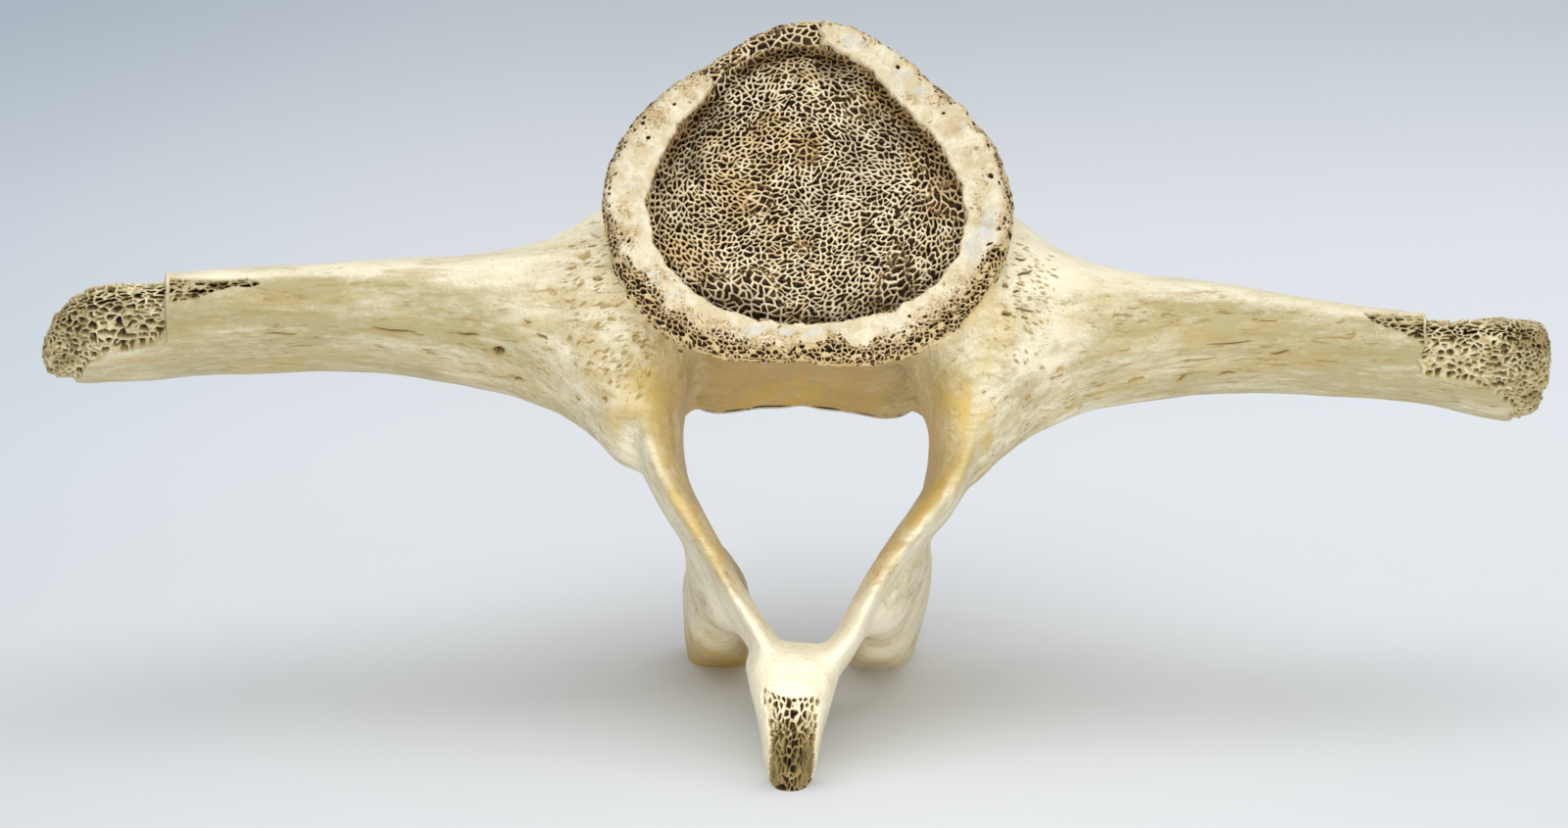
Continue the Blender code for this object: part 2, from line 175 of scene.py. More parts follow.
VOXEL = 1.34                # of the mesh that joins the regions, before it is divided once
FAIRING = 9                 # passes of drawing it smooth
DISC_CELLS = 500            # across the end's spongy bone
RING_STEPS, RING_ROWS = 1400, 84        # round the tail-side plate, and over it
PLATE_CELLS = 180           # across the head-side plate


# ---- outlines ---------------------------------------------

def turned_by(angle, degrees):
    """How far angles are from one in degrees, between minus and plus half a turn."""
    return (angle - math.radians(degrees) + math.pi) % (2 * math.pi) - math.pi


def bump(angle, middle, width):
    """1 at an angle in degrees, falling off over a width on either side of it."""
    return np.exp(-((turned_by(angle, middle) / math.radians(width)) ** 2))


def waved(angle, radius, *waves):
    """A closed outline: its mean radius, then a cosine's and a sine's size for each wave."""
    return radius + sum(c * np.cos(k * angle) + s * np.sin(k * angle)
                        for k, (c, s) in enumerate(waves, 1))


def end_radius(angle):
    """The drum's tail-side outline: a rounded triangle, wide at the neural canal's side."""
    outline = waved(angle, 47.9, (0.5, -0.9), (3.8, 0.2), (0, -2.3), (0.6, -0.2), (0.3, 0.8))
    return outline - bump(angle, 270, 5)


def head_radius(angle):
    """The drum's head-side outline, flatter along the canal and square at its corners."""
    corners = bump(angle, 239, 12) + bump(angle, 301, 12)
    return end_radius(angle) + 4.8 * corners + 1.2 * bump(angle, 270, 25)


def ring_radius(angle):
    """The edge of the tail-side plate, which falls short of the drum's edge below."""
    below = np.clip(-1.4 * np.sin(angle), 0.0, 1.0)
    return end_radius(angle) * (0.995 - 0.075 * below + 0.05 * bump(angle, 270, 8))


def hole_radius(angle):
    """The outline of the hole in the tail-side plate, where the spongy bone is bare."""
    return waved(angle, 37.6, (-0.2, 1.4), (1.9, -0.65), (0.6, -2.5), (0.9, 0))


def ring_of(count):
    """Angles of that many points round a ring."""
    return np.arange(count) * (2 * math.pi / count)


def rounded(angle, squareness):
    """Cosine and sine of a superellipse: squareness 2 is round, and more is squarer."""
    c, s = np.cos(angle), np.sin(angle)
    power = 2.0 / squareness
    return np.sign(c) * np.abs(c) ** power, np.sign(s) * np.abs(s) ** power


def smooth(low, high, x):
    """0 up to low and 1 from high on, with a soft rise between; low may be the larger."""
    t = np.clip((x - low) / (high - low), 0.0, 1.0)
    return t * t * (3 - 2 * t)


def mixed(a, b, share):
    """Of two values, the second where the share is 1."""
    return a + share * (b - a)


def stacked(*columns):
    """Columns side by side, each an array, some columns already, or one number."""
    rows = max(len(column) for column in columns if np.ndim(column))
    return np.column_stack([
        column if np.ndim(column) else np.full(rows, column) for column in columns])


# ---- noise and networks, the same on every run ------------

JITTER = 0.86               # how far a cell's middle strays, as a share of the cell


def hashed(cells, seed):
    """A number from 0 to 1 for each cell, given as a list of whole-number arrays."""
    h = np.full(np.shape(cells[0]), (0x9E3779B9 * (seed + 1)) & 0xFFFFFFFF, np.uint32)
    for c in cells:
        h = h ^ (np.asarray(c, np.int64) & 0xFFFFFFFF).astype(np.uint32)
        h = h * np.uint32(0x85EBCA6B)
        h = h ^ (h >> np.uint32(13))
        h = h * np.uint32(0xC2B2AE35)
        h = h ^ (h >> np.uint32(16))
    return h.astype(np.float64) / 2.0 ** 32


def noise(points, size, seed=0):
    """Smooth noise from -1 to 1 over points in mm, with features of about that size."""
    q = np.asarray(points, float) / size
    cell = np.floor(q).astype(np.int64)
    t = q - cell
    t = t * t * (3 - 2 * t)
    total = np.zeros(len(q))
    for corner in product((0, 1), repeat=q.shape[1]):
        weight = np.ones(len(q))
        for k, up in enumerate(corner):
            weight *= t[:, k] if up else 1 - t[:, k]
        total += weight * hashed([cell[:, k] + up for k, up in enumerate(corner)], seed)
    return 2 * total - 1


def noises(points, size, seed, count):
    """Several noises side by side, to move points by."""
    return stacked(*(noise(points, size, seed + k) for k in range(count)))


def cloudy(points, size, seed=0, octaves=3):
    """Noise with ever smaller and weaker features laid over each other."""
    return sum(noise(points, np.asarray(size) / 2 ** k, seed + 17 * k) / 2 ** k
               for k in range(octaves))


def network(points, pitch, seed=0, turn=None, stretch=1.0, merged=0.0):
    """Cells of about the pitch in mm, as pores have them: how far each point is from the wall
    of its cell and from the cell's middle, as shares of the pitch, and the cell's own number.

    With turn, an angle for each point in the plane of the first two axes, the cells are
    longer that way. merged is the share of the walls that are missing.
    """
    q = np.asarray(points, float) / pitch
    base = np.floor(q).astype(np.int64)
    dims = q.shape[1]
    offsets = list(product((-1, 0, 1), repeat=dims))
    if turn is not None:
        c, s = np.cos(turn), np.sin(turn)

    def way_to(offset):
        """A cell next to each point's own, and the way to its middle."""
        cells = [base[:, k] + offset[k] for k in range(dims)]
        way = np.column_stack([
            cells[k] + 0.5 + JITTER * (hashed(cells, seed + 101 * k) - 0.5) - q[:, k]
            for k in range(dims)
        ])
        if turn is not None:
            along, over = c * way[:, 0] + s * way[:, 1], c * way[:, 1] - s * way[:, 0]
            way[:, 0], way[:, 1] = along / stretch, over * stretch
        return cells, way

    nearest = np.full(len(q), np.inf)
    first = np.zeros_like(q)
    home = np.zeros(q.shape, np.int64)
    for offset in offsets:
        cells, way = way_to(offset)
        gap = (way ** 2).sum(1)
        closer = gap < nearest
        nearest[closer] = gap[closer]
        first[closer] = way[closer]
        home[closer] = np.column_stack(cells)[closer]
    wall = np.full(len(q), np.inf)
    for offset in offsets:
        cells, way = way_to(offset)
        apart = way - first
        length = np.sqrt((apart ** 2).sum(1))
        other = length > 1e-6
        edge = ((way + first) * apart).sum(1) / (2 * np.maximum(length, 1e-6))
        if merged:
            cells = np.column_stack(cells)
            pair = [cells[:, k] + home[:, k] for k in range(dims)] + [(cells * home).sum(1)]
            other &= hashed(pair, seed + 7) >= merged
        wall = np.where(other, np.minimum(wall, edge), wall)
    wall = np.minimum(wall, 0.6)
    return wall, np.sqrt(nearest), hashed([home[:, k] for k in range(dims)], seed + 13)


# ---- lofts ------------------------------------------------

def between(sections, steps):
    """Sections in between the given ones, on a smooth curve (Catmull-Rom) through them."""
    rows = np.array(sections, float)
    padded = np.vstack([2 * rows[0] - rows[1], rows, 2 * rows[-1] - rows[-2]])
    found = []
    for i in range(1, len(padded) - 2):
        p0, p1, p2, p3 = padded[i - 1:i + 3]
        for t in np.linspace(0, 1, steps, endpoint=False):
            found.append(
                p1 + 0.5 * t * (p2 - p0 + t * (2 * p0 - 5 * p1 + 4 * p2 - p3
                                               + t * (3 * (p1 - p2) + p3 - p0)))
            )
    found.append(rows[-1])
    return np.array(found)


def lofted(rings):
    """A closed mesh through rings of equally many points, each an (n, 3) array in mm."""
    n, count = len(rings[0]), len(rings)
    faces = [tuple(range(n)), tuple(reversed(range((count - 1) * n, count * n)))]
    for here, j in product(range(0, (count - 1) * n, n), range(n)):
        k = (j + 1) % n
        faces.append((here + j, here + n + j, here + n + k, here + k))
    mesh = bpy.data.meshes.new("part")
    mesh.from_pydata(np.concatenate(rings).tolist(), [], faces)
    bm = bmesh.new()
    bm.from_mesh(mesh)
    bmesh.ops.recalc_face_normals(bm, faces=bm.faces)
    bm.to_mesh(mesh)
    bm.free()
    return mesh


def drum_rings():
    """The drum between its two plates, with a waist and its edges turned out a little."""
    angle = ring_of(128)
    first, last = PLATE_THICKNESS + CUT, CENTRUM_LENGTH - PLATE_THICKNESS - CUT
    rings = []
    for t in np.linspace(0, 1, 41):
        share = WAIST + (1.02 - WAIST) * abs(2 * t - 1) ** 2.6
        radius = share * ((1 - t) * end_radius(angle) + t * head_radius(angle))
        rings.append(stacked(radius * np.cos(angle) + HEAD_SHIFT * t, first + t * (last - first),
                             radius * np.sin(angle)))
    return rings


def process_rings(side):
    """A transverse process, swelling into the drum and the arch at its root."""
    stoutness = np.array(PROCESS_STOUTNESS[side])
    start, reach, square = PROCESS_END[side]
    rows = between(PROCESS_SECTIONS, 8)
    along = [out for out in rows[:, 0] if out < start]
    along += [start + (reach - start) * math.sin(t) for t in np.linspace(0, 1.5, 14)]
    c, s = rounded(ring_of(64), 2.3)
    rings = []
    for out in along:
        drawn = (1 - max(0.0, (out - start) / (reach - start)) ** square) ** (1 / square)
        size = np.interp(out, *stoutness.T) * drawn
        z, wide, thick, tilt = (np.interp(out, rows[:, 0], column) for column in rows.T[1:])
        wide, thick, tilt = wide * size, thick * size, math.radians(tilt)
        z += PROCESS_DROOP[side] * (max(0.0, out - 150) / 45) ** 2 - PROCESS_CORNER * (1 - drawn)
        rings.append(stacked(
            SIGN[side] * out,
            PROCESS_MIDDLE + wide * c * math.cos(tilt) + thick * s * math.sin(tilt),
            z - wide * c * math.sin(tilt) + thick * s * math.cos(tilt)))
    return rings


def arch_rings(side):
    """One side of the arch: a plate from the drum round to the spine, with a crest."""
    rows = between(ARCH_SECTIONS, 6)
    along = np.gradient(rows[:, :2], axis=0)
    along /= np.linalg.norm(along, axis=1)[:, None]
    c, s = rounded(ring_of(48), 3.0)
    before = np.clip((ARCH_FULL - c) / (ARCH_FULL + 1), 0, 1)
    rings = []
    for (out, z, half, front, back, edge), (d_out, d_z) in zip(rows, along):
        share = edge + (1 - edge) * np.sqrt(1 - before ** 2)
        across = half * (share * s + 0.8 * (1 - share))     # the outer face stays straight
        lean = np.interp(z, *np.array(ARCH_LEAN).T)
        rings.append(stacked(SIGN[side] * (out - across * d_z) + lean,
                             (front + back) / 2 + (back - front) / 2 * c, z + across * d_out))
    return rings


def corner_rings(side):
    """A rib in the corner between the drum and the canal's side, hollow between its edges."""
    c, s = rounded(ring_of(24), 0.75)
    return [stacked(SIGN[side] * (out + size * c) + ARCH_LEAN[-1][1], y, z + size * s)
            for y, out, z, size in between(CANAL_CORNER, 3)]


def spine_rings():
    """The neural spine, a blade that is thinner towards the head."""
    c, s = rounded(ring_of(48), 2.8)
    return [stacked(half * (1 - 0.30 * (c + 1) / 2) * s,
                    (front + back) / 2 + (back - front) / 2 * c, z)
            for z, half, front, back in between(SPINE_SECTIONS, 6)]


def metapophysis_rings(side):
    """One of the two feet behind, a rounded plate that grows squarer to its end."""
    angle = ring_of(48)
    rings = []
    for out, y, z, half, tall, slant in between(METAPOPHYSIS_SECTIONS, 6):
        c, s = rounded(angle, np.interp(y, (60.0, 96.0), (2.6, 4.2)))
        slant *= np.interp(y, (48.0, 73.0), (1.0, METAPOPHYSIS_SLANT[side]))
        rings.append(stacked(SIGN[side] * (out + half * c + slant * s) + METAPOPHYSIS_LEAN, y,
                             z + tall * s))
    return rings


# ---- the resting pose and the picture ---------------------

TURNED = Matrix.Rotation(ROLL, 4, "Y") @ Matrix.Rotation(-PITCH, 4, "X")
TURN = np.array(TURNED.to_3x3())

ELEVATION = math.radians(14.5)
FORWARD = np.array([0.0, math.cos(ELEVATION), -math.sin(ELEVATION)])
UPWARD = np.array([0.0, math.sin(ELEVATION), math.cos(ELEVATION)])
SIDEWAYS = np.array([1.0, 0.0, 0.0])
EYE = ORIGIN - 5.5 * SIDEWAYS - 55.6 * UPWARD - 1150.0 * FORWARD
PICTURE = (1600, 845)       # pixels
FOCAL = 4600.0              # in the same pixels


def resting(points):
    """From the anatomical frame to the resting pose, both in mm."""
    return points @ TURN.T + ORIGIN


def standing(points):
    """Back from the resting pose to the anatomical frame, both in mm."""
    return (points - ORIGIN) @ TURN


def seen_at(points):
    """Where points of the anatomical frame are in the picture: across, down and depth."""
    away = resting(points) - EYE
    depth = away @ FORWARD
    return (
        PICTURE[0] / 2 + FOCAL * (away @ SIDEWAYS) / depth,
        PICTURE[1] / 2 - FOCAL * (away @ UPWARD) / depth,
        depth,
    )


def inside(across, down, corners):
    """How many pixels a place is inside an outline, negative outside it."""
    corners = np.array(corners, float)
    nearest = np.full(len(across), np.inf)
    within = np.zeros(len(across), bool)
    for (ax, ay), (bx, by) in zip(corners, np.roll(corners, -1, 0)):
        dx, dy = bx - ax, by - ay
        t = np.clip(((across - ax) * dx + (down - ay) * dy) / (dx * dx + dy * dy), 0, 1)
        nearest = np.minimum(nearest, np.hypot(across - ax - t * dx, down - ay - t * dy))
        crosses = (ay > down) != (by > down)
        with np.errstate(divide="ignore", invalid="ignore"):
            within ^= crosses & (across < ax + (down - ay) * dx / (dy if dy else np.inf))
    return np.where(within, nearest, -nearest)


# ---- places in the picture --------------------------------

# outlines in pixels of the picture
LEFT_TIP = ((30, 270), (168.5, 270), (169.0, 300), (169.5, 330), (170, 350.5), (148, 353.5),
            (129, 358), (113, 360.5), (101, 366), (89, 374), (81, 386), (71, 397), (30, 410))
LEFT_CHIP = ((172.5, 282), (204, 283.5), (227, 284.5), (251, 283.5), (261, 286.5), (265, 289),
             (257, 292.5), (245, 293.5), (237, 291.5), (213, 300), (197, 307), (172.5, 309.5))
RIGHT_TIP = ((1455, 310), (1600, 310), (1600, 440), (1556, 440), (1546, 425), (1542, 411),
             (1527, 403), (1509, 393.5), (1483, 388), (1463, 385.5), (1452, 384.5),
             (1446, 369), (1455.5, 353))
RIGHT_CHIP = ((1392, 319.5), (1453.5, 320), (1453.5, 353), (1441, 348), (1433, 339), (1417, 334),
              (1400, 327.5))
SPINE_FACE = ((778, 700), (783, 703), (790, 708.5), (801, 711.5), (817, 712.5), (832, 711.5),
              (840.5, 711), (837, 727), (835, 743.5), (833, 762), (832, 779), (831, 800),
              (831, 830), (783, 830), (784, 799), (784, 779), (784, 760), (784, 743),
              (781, 727), (775, 710))
CREST_CHIP = ((743, 619), (748, 618), (756, 640), (757, 652), (752, 648), (747, 632))
LEFT_FAN = ((607, 214), (618, 232), (628, 290), (648, 330), (668, 352), (664, 380), (652, 410),
            (628, 402), (600, 370), (574, 330), (572, 270), (592, 235))
RIGHT_FAN = ((1034, 240), (1052, 245), (1075, 270), (1078, 310), (1066, 350), (1046, 372),
             (1016, 356), (1012, 330), (1024, 300))

# across, down, length and width in pixels of the picture, slope in degrees, depth in mm, and
# how dark it is
SLITS = (
    (401, 337, 46, 3.2, 6, 0.7, 0.75), (425, 341, 16, 2.4, 8, 0.5, 0.5),
    (286, 341, 36, 2.6, 0, 0.6, 0.75), (240, 341, 30, 1.4, -3, 0.25, 0.35),
    (477, 341, 24, 3.4, 5, 0.7, 0.75), (553, 343, 13, 3.4, 32, 0.7, 0.55),
    (515, 385, 34, 2.0, 3, 0.35, 0.4), (350, 290, 60, 1.6, -3, 0.25, 0.45),
    (276, 306, 22, 2.0, 2, 0.4, 0.4), (222, 325, 44, 1.3, 2, 0.25, 0.4),
    (390, 327, 20, 1.4, 4, 0.2, 0.3), (440, 352, 26, 1.2, 2, 0.2, 0.3),
    (538, 328, 9, 2.6, 12, 0.5, 0.5), (529, 387, 10, 3.0, 12, 0.6, 0.7),
    (556, 380, 12, 2.4, 30, 0.5, 0.45), (563, 297, 12, 6.0, 35, 0.6, 0.35),
    (589, 406, 8, 4.0, 40, 0.7, 0.6), (617, 407, 7, 4.5, 45, 0.8, 0.75),
    (622, 390, 5, 5.0, 0, 0.7, 0.5), (596, 260, 14, 8.0, -25, 0.7, 0.45),
    (610, 284, 9, 6.0, 10, 0.9, 0.6), (584, 273, 8, 4.0, 0, 0.6, 0.5),
    (649, 344, 9, 7.0, -40, 0.6, 0.6), (624, 325, 8, 6.0, 0, 0.5, 0.5),
    (1255, 350, 50, 2.4, -3, 0.6, 0.75), (1306, 360, 22, 3.4, -8, 0.7, 0.7),
    (1223, 367, 38, 2.4, -6, 0.5, 0.6), (1252, 381, 20, 3.0, -10, 0.6, 0.75),
    (1160, 388, 17, 5.0, -22, 1.0, 0.75), (1206, 386, 13, 3.5, -28, 0.6, 0.6),
    (1292, 327, 30, 2.4, 0, 0.4, 0.6), (1190, 400, 40, 1.2, -4, 0.2, 0.3),
    (1123, 394, 12, 3.0, -18, 0.5, 0.5), (1148, 358, 12, 2.4, -16, 0.5, 0.4),
    (1108, 360, 14, 2.0, -4, 0.4, 0.35), (1064, 376, 6, 4.0, -15, 0.6, 0.5),
    (1082, 378, 9, 5.0, -25, 0.6, 0.5), (1050, 406, 8, 4.5, -25, 0.7, 0.6),
    (1092, 416, 12, 3.0, -15, 0.4, 0.4), (1202, 327, 6, 1.8, 0, 0.4, 0.7),
    (1341, 372, 40, 1.6, 8, 0.3, 0.35), (1400, 380, 44, 1.4, 8, 0.25, 0.35),
    (1370, 344, 36, 1.2, 6, 0.2, 0.3), (1027, 320, 10, 5.5, -10, 0.9, 0.9),
    (1046, 324, 8, 3.5, 0, 0.6, 0.5), (1041, 264, 12, 3.0, 5, 0.6, 0.6),
    (1046, 278, 16, 3.0, -22, 0.6, 0.6), (1026, 291, 6, 6.0, 0, 0.7, 0.8),
    (1037, 297, 7, 3.0, 0, 0.6, 0.7), (1046, 316, 20, 2.6, 6, 0.6, 0.6),
    (695, 358, 7, 3.0, 0, 0.6, 0.7), (1004, 400, 5, 2.4, 0, 0.4, 0.6),
)
# across, down, width and height in pixels, depth in mm
FORAMEN = (507.5, 359, 13, 9, 5.0)

# side, outline, seed, the saw's cut in pixels across, how the step down to the spongy bone
# grows (from and to in pixels across, by how many mm), its pores, and how stained it is
TIPS = (
    ("left", LEFT_TIP, 11, 169, (95, 158, 1.5), ((2.5, 5.0, 1.35), 0.22, 0.16, 0.25), 0.08),
    ("right", RIGHT_TIP, 23, 1455, (1520, 1462, 0.5), ((1.9, 4.4, 1.30), 0.27, 0.12, 0.30), 0.24),
)
# outline, seed, and hollows: across, down, half width and half height in pixels
CHIPS = (
    (LEFT_CHIP, 31, ((224, 292, 11, 4.5), (201, 299, 8, 3.5), (182, 303, 4, 3))),
    (RIGHT_CHIP, 37, ((1447, 343, 4, 5),)),
)
# seed, pitch in mm, share of the cells with a pit, its radius, depth in mm, how dark it is
FAN_PITS = (
    (53, (3.8, 1.35, 3.4), 0.40, 0.46, 0.60, 0.36),
    (54, (2.6, 1.0, 2.3), 0.58, 0.46, 0.45, 0.31),
    (59, (1.6, 0.80, 1.5), 0.55, 0.42, 0.26, 0.25),
)
# vessels' holes on the sides that the picture doesn't show: place, radius and depth in mm
HIDDEN_HOLES = (
    ((22.0, 44.0, 40.0), 1.6, 3.0), ((-20.0, 40.0, 41.0), 1.3, 2.5),
    ((-5.0, 47.0, 44.0), 1.1, 2.0), ((96.0, 60.0, -38.0), 1.2, 2.0),
    ((-104.0, 62.0, -36.0), 1.3, 2.5),
)

# ---- the two ends' own sizes ------------------------------

TAIL_SIDE, HEAD_SIDE = -1, 1
RING_RADIUS, RING_WIDTH = 46, 11.5      # the tail-side plate's, about, in mm
# a section of the plate: share of its width from the hole out, share of its thickness down
RING_PROFILE = (
    (0.02, 1.25), (0.0, 0.75), (0.0, 0.25), (0.03, 0.05), (0.10, 0.0), (0.30, 0.0), (0.55, 0.0),
    (0.75, 0.04), (0.90, 0.20), (0.975, 0.45), (1.0, 0.75), (0.99, 1.15),
)
# degrees round the plate, share of its width, radius in mm
RING_HOLES = (
    (56.5, 0.62, 0.75), (161.0, 0.45, 0.7), (157.0, 0.75, 0.6), (8.0, 0.72, 0.8),
    (347.0, 0.80, 0.65), (146.0, 0.5, 0.6), (33.0, 0.5, 0.5), (312.0, 0.4, 0.5),
    (196.0, 0.62, 0.55),
)
# a section of the head-side plate: share of its radius, mm down from its rim
HEAD_PROFILE = (
    (0.0, 1.5), (0.25, 1.3), (0.55, 0.8), (0.8, 0.15), (0.9, 0.0), (0.955, 0.45), (0.985, 1.5),
    (0.99, 2.6), (0.985, 4.4),
)


# ---- meshes from arrays -----------------------------------

def read(items, name, width, kind=np.float32):
    """One property of all items of a mesh, as an array with that many columns."""
    values = np.empty(len(items) * width, kind)
    items.foreach_get(name, values)
    return values.reshape(-1, width) if width > 1 else values


def coordinates(mesh):
    return read(mesh.vertices, "co", 3).astype(float)


def vertex_normals(mesh):
    return read(mesh.vertex_normals, "vector", 3).astype(float)


def piece(name, points, loops, totals, marks, material, normals=None, tones=None):
    """An object in the scene from points in mm of the anatomical frame and its faces."""
    mesh = bpy.data.meshes.new(name)
    used, loops = np.unique(loops, return_inverse=True)
    place = resting(points[used]) * MM
    mesh.vertices.add(len(used))
    mesh.vertices.foreach_set("co", place.astype(np.float32).ravel())
    mesh.loops.add(len(loops))
    mesh.loops.foreach_set("vertex_index", loops.astype(np.int32))
    mesh.polygons.add(len(totals))
    starts = np.concatenate([[0], np.cumsum(totals)[:-1]])
    mesh.polygons.foreach_set("loop_start", starts.astype(np.int32))
    mesh.update(calc_edges=True)
    mesh.polygons.foreach_set("use_smooth", np.ones(len(totals), bool))
    for title, values in (("marks", marks), ("tones", tones)):
        if values is not None:
            layer = mesh.color_attributes.new(title, "FLOAT_COLOR", "POINT")
            layer.data.foreach_set("color", values[used].astype(np.float32).ravel())
    mesh.validate()
    if normals is not None:
        mesh.normals_split_custom_set_from_vertices((normals[used] @ TURN.T).tolist())
    return shown(name, mesh, material)


def shown(name, data, material=None):
    """A new object in the scene with that mesh, light or camera."""
    obj = bpy.data.objects.new(name, data)
    if material:
        data.materials.append(material)
    bpy.context.scene.collection.objects.link(obj)
    return obj


def sheet(name, points, rows, side, marks, material, left_out=None):
    """A piece from rows of points, its faces turned to the tail side or the head side."""
    columns = len(points) // rows
    corner = np.arange(len(points)).reshape(rows, columns)[:-1, :-1].ravel()[:, None]
    faces = corner + (0, 1, columns + 1, columns)
    if left_out is not None:
        faces = faces[~left_out[faces].all(1)]
    a, b, c, d = (points[faces[:, k]] for k in range(4))
    if np.cross(c - a, d - b)[:, 1].sum() * side < 0:
        faces = faces[:, ::-1]
    return piece(name, points, faces.ravel(), np.full(len(faces), 4), marks, material)


# ---- the cortical bone's shape ----------------------------

def faired(points, edges, strength):
    """Points drawn towards the middle of their neighbours, each with its own strength."""
    a, b = edges.T
    count = len(points)
    degree = np.bincount(a, minlength=count) + np.bincount(b, minlength=count)
    for _ in range(FAIRING):
        mean = stacked(*(np.bincount(a, points[b, k], count) + np.bincount(b, points[a, k], count)
                         for k in range(3))) / degree[:, None]
        points = points + strength[:, None] * (mean - points)
    return points


def modified(obj, kind, **settings):
    """The mesh of an object as one new modifier leaves it."""
    changed = obj.modifiers.new(kind, kind)
    for name, value in settings.items():
        setattr(changed, name, value)
    graph = bpy.context.evaluated_depsgraph_get()
    mesh = bpy.data.meshes.new_from_object(obj.evaluated_get(graph))
    obj.modifiers.clear()
    return mesh


def bone_mesh():
    """Drum, processes, arch, spine and metapophyses as one faired surface, cut at the floor."""
    parts = [drum_rings(), spine_rings()]
    for side in SIGN:
        parts += [process_rings(side), arch_rings(side), corner_rings(side),
                  metapophysis_rings(side)]
    bm = bmesh.new()
    for rings in parts:
        bm.from_mesh(lofted(rings))
    mesh = bpy.data.meshes.new("whole")
    bm.to_mesh(mesh)
    bm.free()
    whole = shown("whole", mesh)
    mesh = modified(whole, "REMESH", mode="VOXEL", voxel_size=VOXEL)
    points = coordinates(mesh)
    rim = smooth(9.0, 4.0, points[:, 1]) * smooth(34.0, 40.0, np.hypot(points[:, 0], points[:, 2]))
    points = faired(points, read(mesh.edges, "vertices", 2, np.int32), 0.5 * (1 - 0.75 * rim))
    mesh.vertices.foreach_set("co", points.astype(np.float32).ravel())
    whole.data = mesh
    mesh = modified(whole, "SUBSURF", levels=1, render_levels=1)
    bpy.data.objects.remove(whole)

    # finer still where there are pores, and flat where it stands on the floor
    wanted = fine_places(coordinates(mesh))
    bm = bmesh.new()
    bm.from_mesh(mesh)
    bm.verts.ensure_lookup_table()
    chosen = [f for f in bm.faces if any(wanted[v.index] for v in f.verts)]
    edges = list({e for f in chosen for e in f.edges})
    bmesh.ops.subdivide_edges(bm, edges=edges, cuts=2, use_grid_fill=True)
    bmesh.ops.bisect_plane(
        bm, geom=bm.verts[:] + bm.edges[:] + bm.faces[:],
        plane_co=standing(np.zeros((1, 3)))[0], plane_no=-TURN.T[:, 2], clear_outer=True)
    bmesh.ops.holes_fill(bm, edges=[e for e in bm.edges if e.is_boundary], sides=0)
    bm.normal_update()
    bm.to_mesh(mesh)
    bm.free()
    return mesh


def fine_places(points):
    """Which points are where the bone is drawn finely."""
    x, y, _ = seen_at(points)
    near = np.zeros(len(points), bool)
    for outline, margin in ((LEFT_TIP, 5), (LEFT_CHIP, 4), (RIGHT_TIP, 5), (RIGHT_CHIP, 4),
                            (LEFT_FAN, 2), (RIGHT_FAN, 2)):
        near |= inside(x, y, outline) > -margin
    for cx, cy, long, _, _, deep, _ in SLITS:
        near |= (np.hypot(x - cx, (y - cy) * 2.5) < 0.55 * long + 4) & (deep > 0.45)
    near &= points[:, 1] < 62
    near |= (inside(x, y, SPINE_FACE) > -4) & (points[:, 1] < 12)
    near |= (inside(x, y, CREST_CHIP) > -5) & (points[:, 1] < 30)
    return near | (points[:, 0] < -190) | (points[:, 0] > 189.5)


def open_spongy(points, seed, pitch, strut=0.36, merged=0.10, floors=0.35):
    """Spongy bone's own relief: how dark it is and how deep in mm at each point.

    strut is a strut's thickness in mm, and floors is the share of the pores that end on
    another layer of struts.
    """
    pitch = np.asarray(pitch, float) * np.ones(3)
    fine = pitch.min()
    bend = 0.30 * fine * noises(points, 2.4 * fine, seed + 1, 3)
    wall, _, cell = network(points + bend, pitch, seed, merged=merged)
    thick = 0.5 * strut * (1 + 0.5 * noise(points, 2.0 * fine, seed + 5))
    hollow = smooth(thick, thick + 0.12 * fine + 0.04, wall * fine * 1.1)
    deeper, _, number = network(points + 2 * bend + 31.0, pitch * 0.7, seed + 50)
    second = smooth(0.05, 0.18, deeper)
    shallow = (cell < floors) * (1 - second)
    dark = hollow * (1.0 - 0.5 * shallow) * (0.66 + 0.34 * number)
    return dark, hollow * (0.8 + 0.9 * cell + 0.7 * second)


# ---- the cortical bone's marks ----------------------------

# Lengths are in mm of the anatomical frame, but places in an outline and its depth in pixels.
# In the functions below, s is the Surface that is marked.

class Surface:
    """The cortical surface: its points, how they are seen, and the marks they are given.

    pore is how dark a hollow is, brown and deep down a painted shade, spongy where the shell is
    gone, stain how brown, pins how many pinholes there are, each from 0 to 1, and sink how many mm
    a point goes in.
    """

    def __init__(self, mesh):
        self.points, self.normals = coordinates(mesh), vertex_normals(mesh)
        self.X, self.Y, self.Z = self.points.T
        self.out = np.abs(self.X)               # from the bone's middle plane
        self.polar = np.hypot(self.X, self.Z)   # from the drum's axis
        self.x, self.y, self.depth = seen_at(self.points)
        placed = resting(self.points)
        self.level = placed[:, 2]
        away = placed - EYE
        away /= np.linalg.norm(away, axis=1)[:, None]
        turned = self.normals @ TURN.T
        self.front, self.up = -(turned * away).sum(1), turned[:, 2]     # 1 to the eye, and up
        self.pore, self.spongy, self.stain, self.pins, self.sink = np.zeros((5, len(placed)))

    def near(self, outline, margin, chosen):
        """The chosen points seen inside an outline or close to it, and how far inside."""
        depth_in = inside(self.x, self.y, outline)
        here = np.flatnonzero((depth_in > -margin) & chosen)
        return here, depth_in[here]

    def mark(self, here, sink, pore=0.0, spongy=0.0, stain=0.0):
        """Sink some points by so many mm, and raise their marks to at least these."""
        self.sink[here] += sink
        for held, value in ((self.pore, pore), (self.spongy, spongy), (self.stain, stain)):
            held[here] = np.maximum(held[here], value)


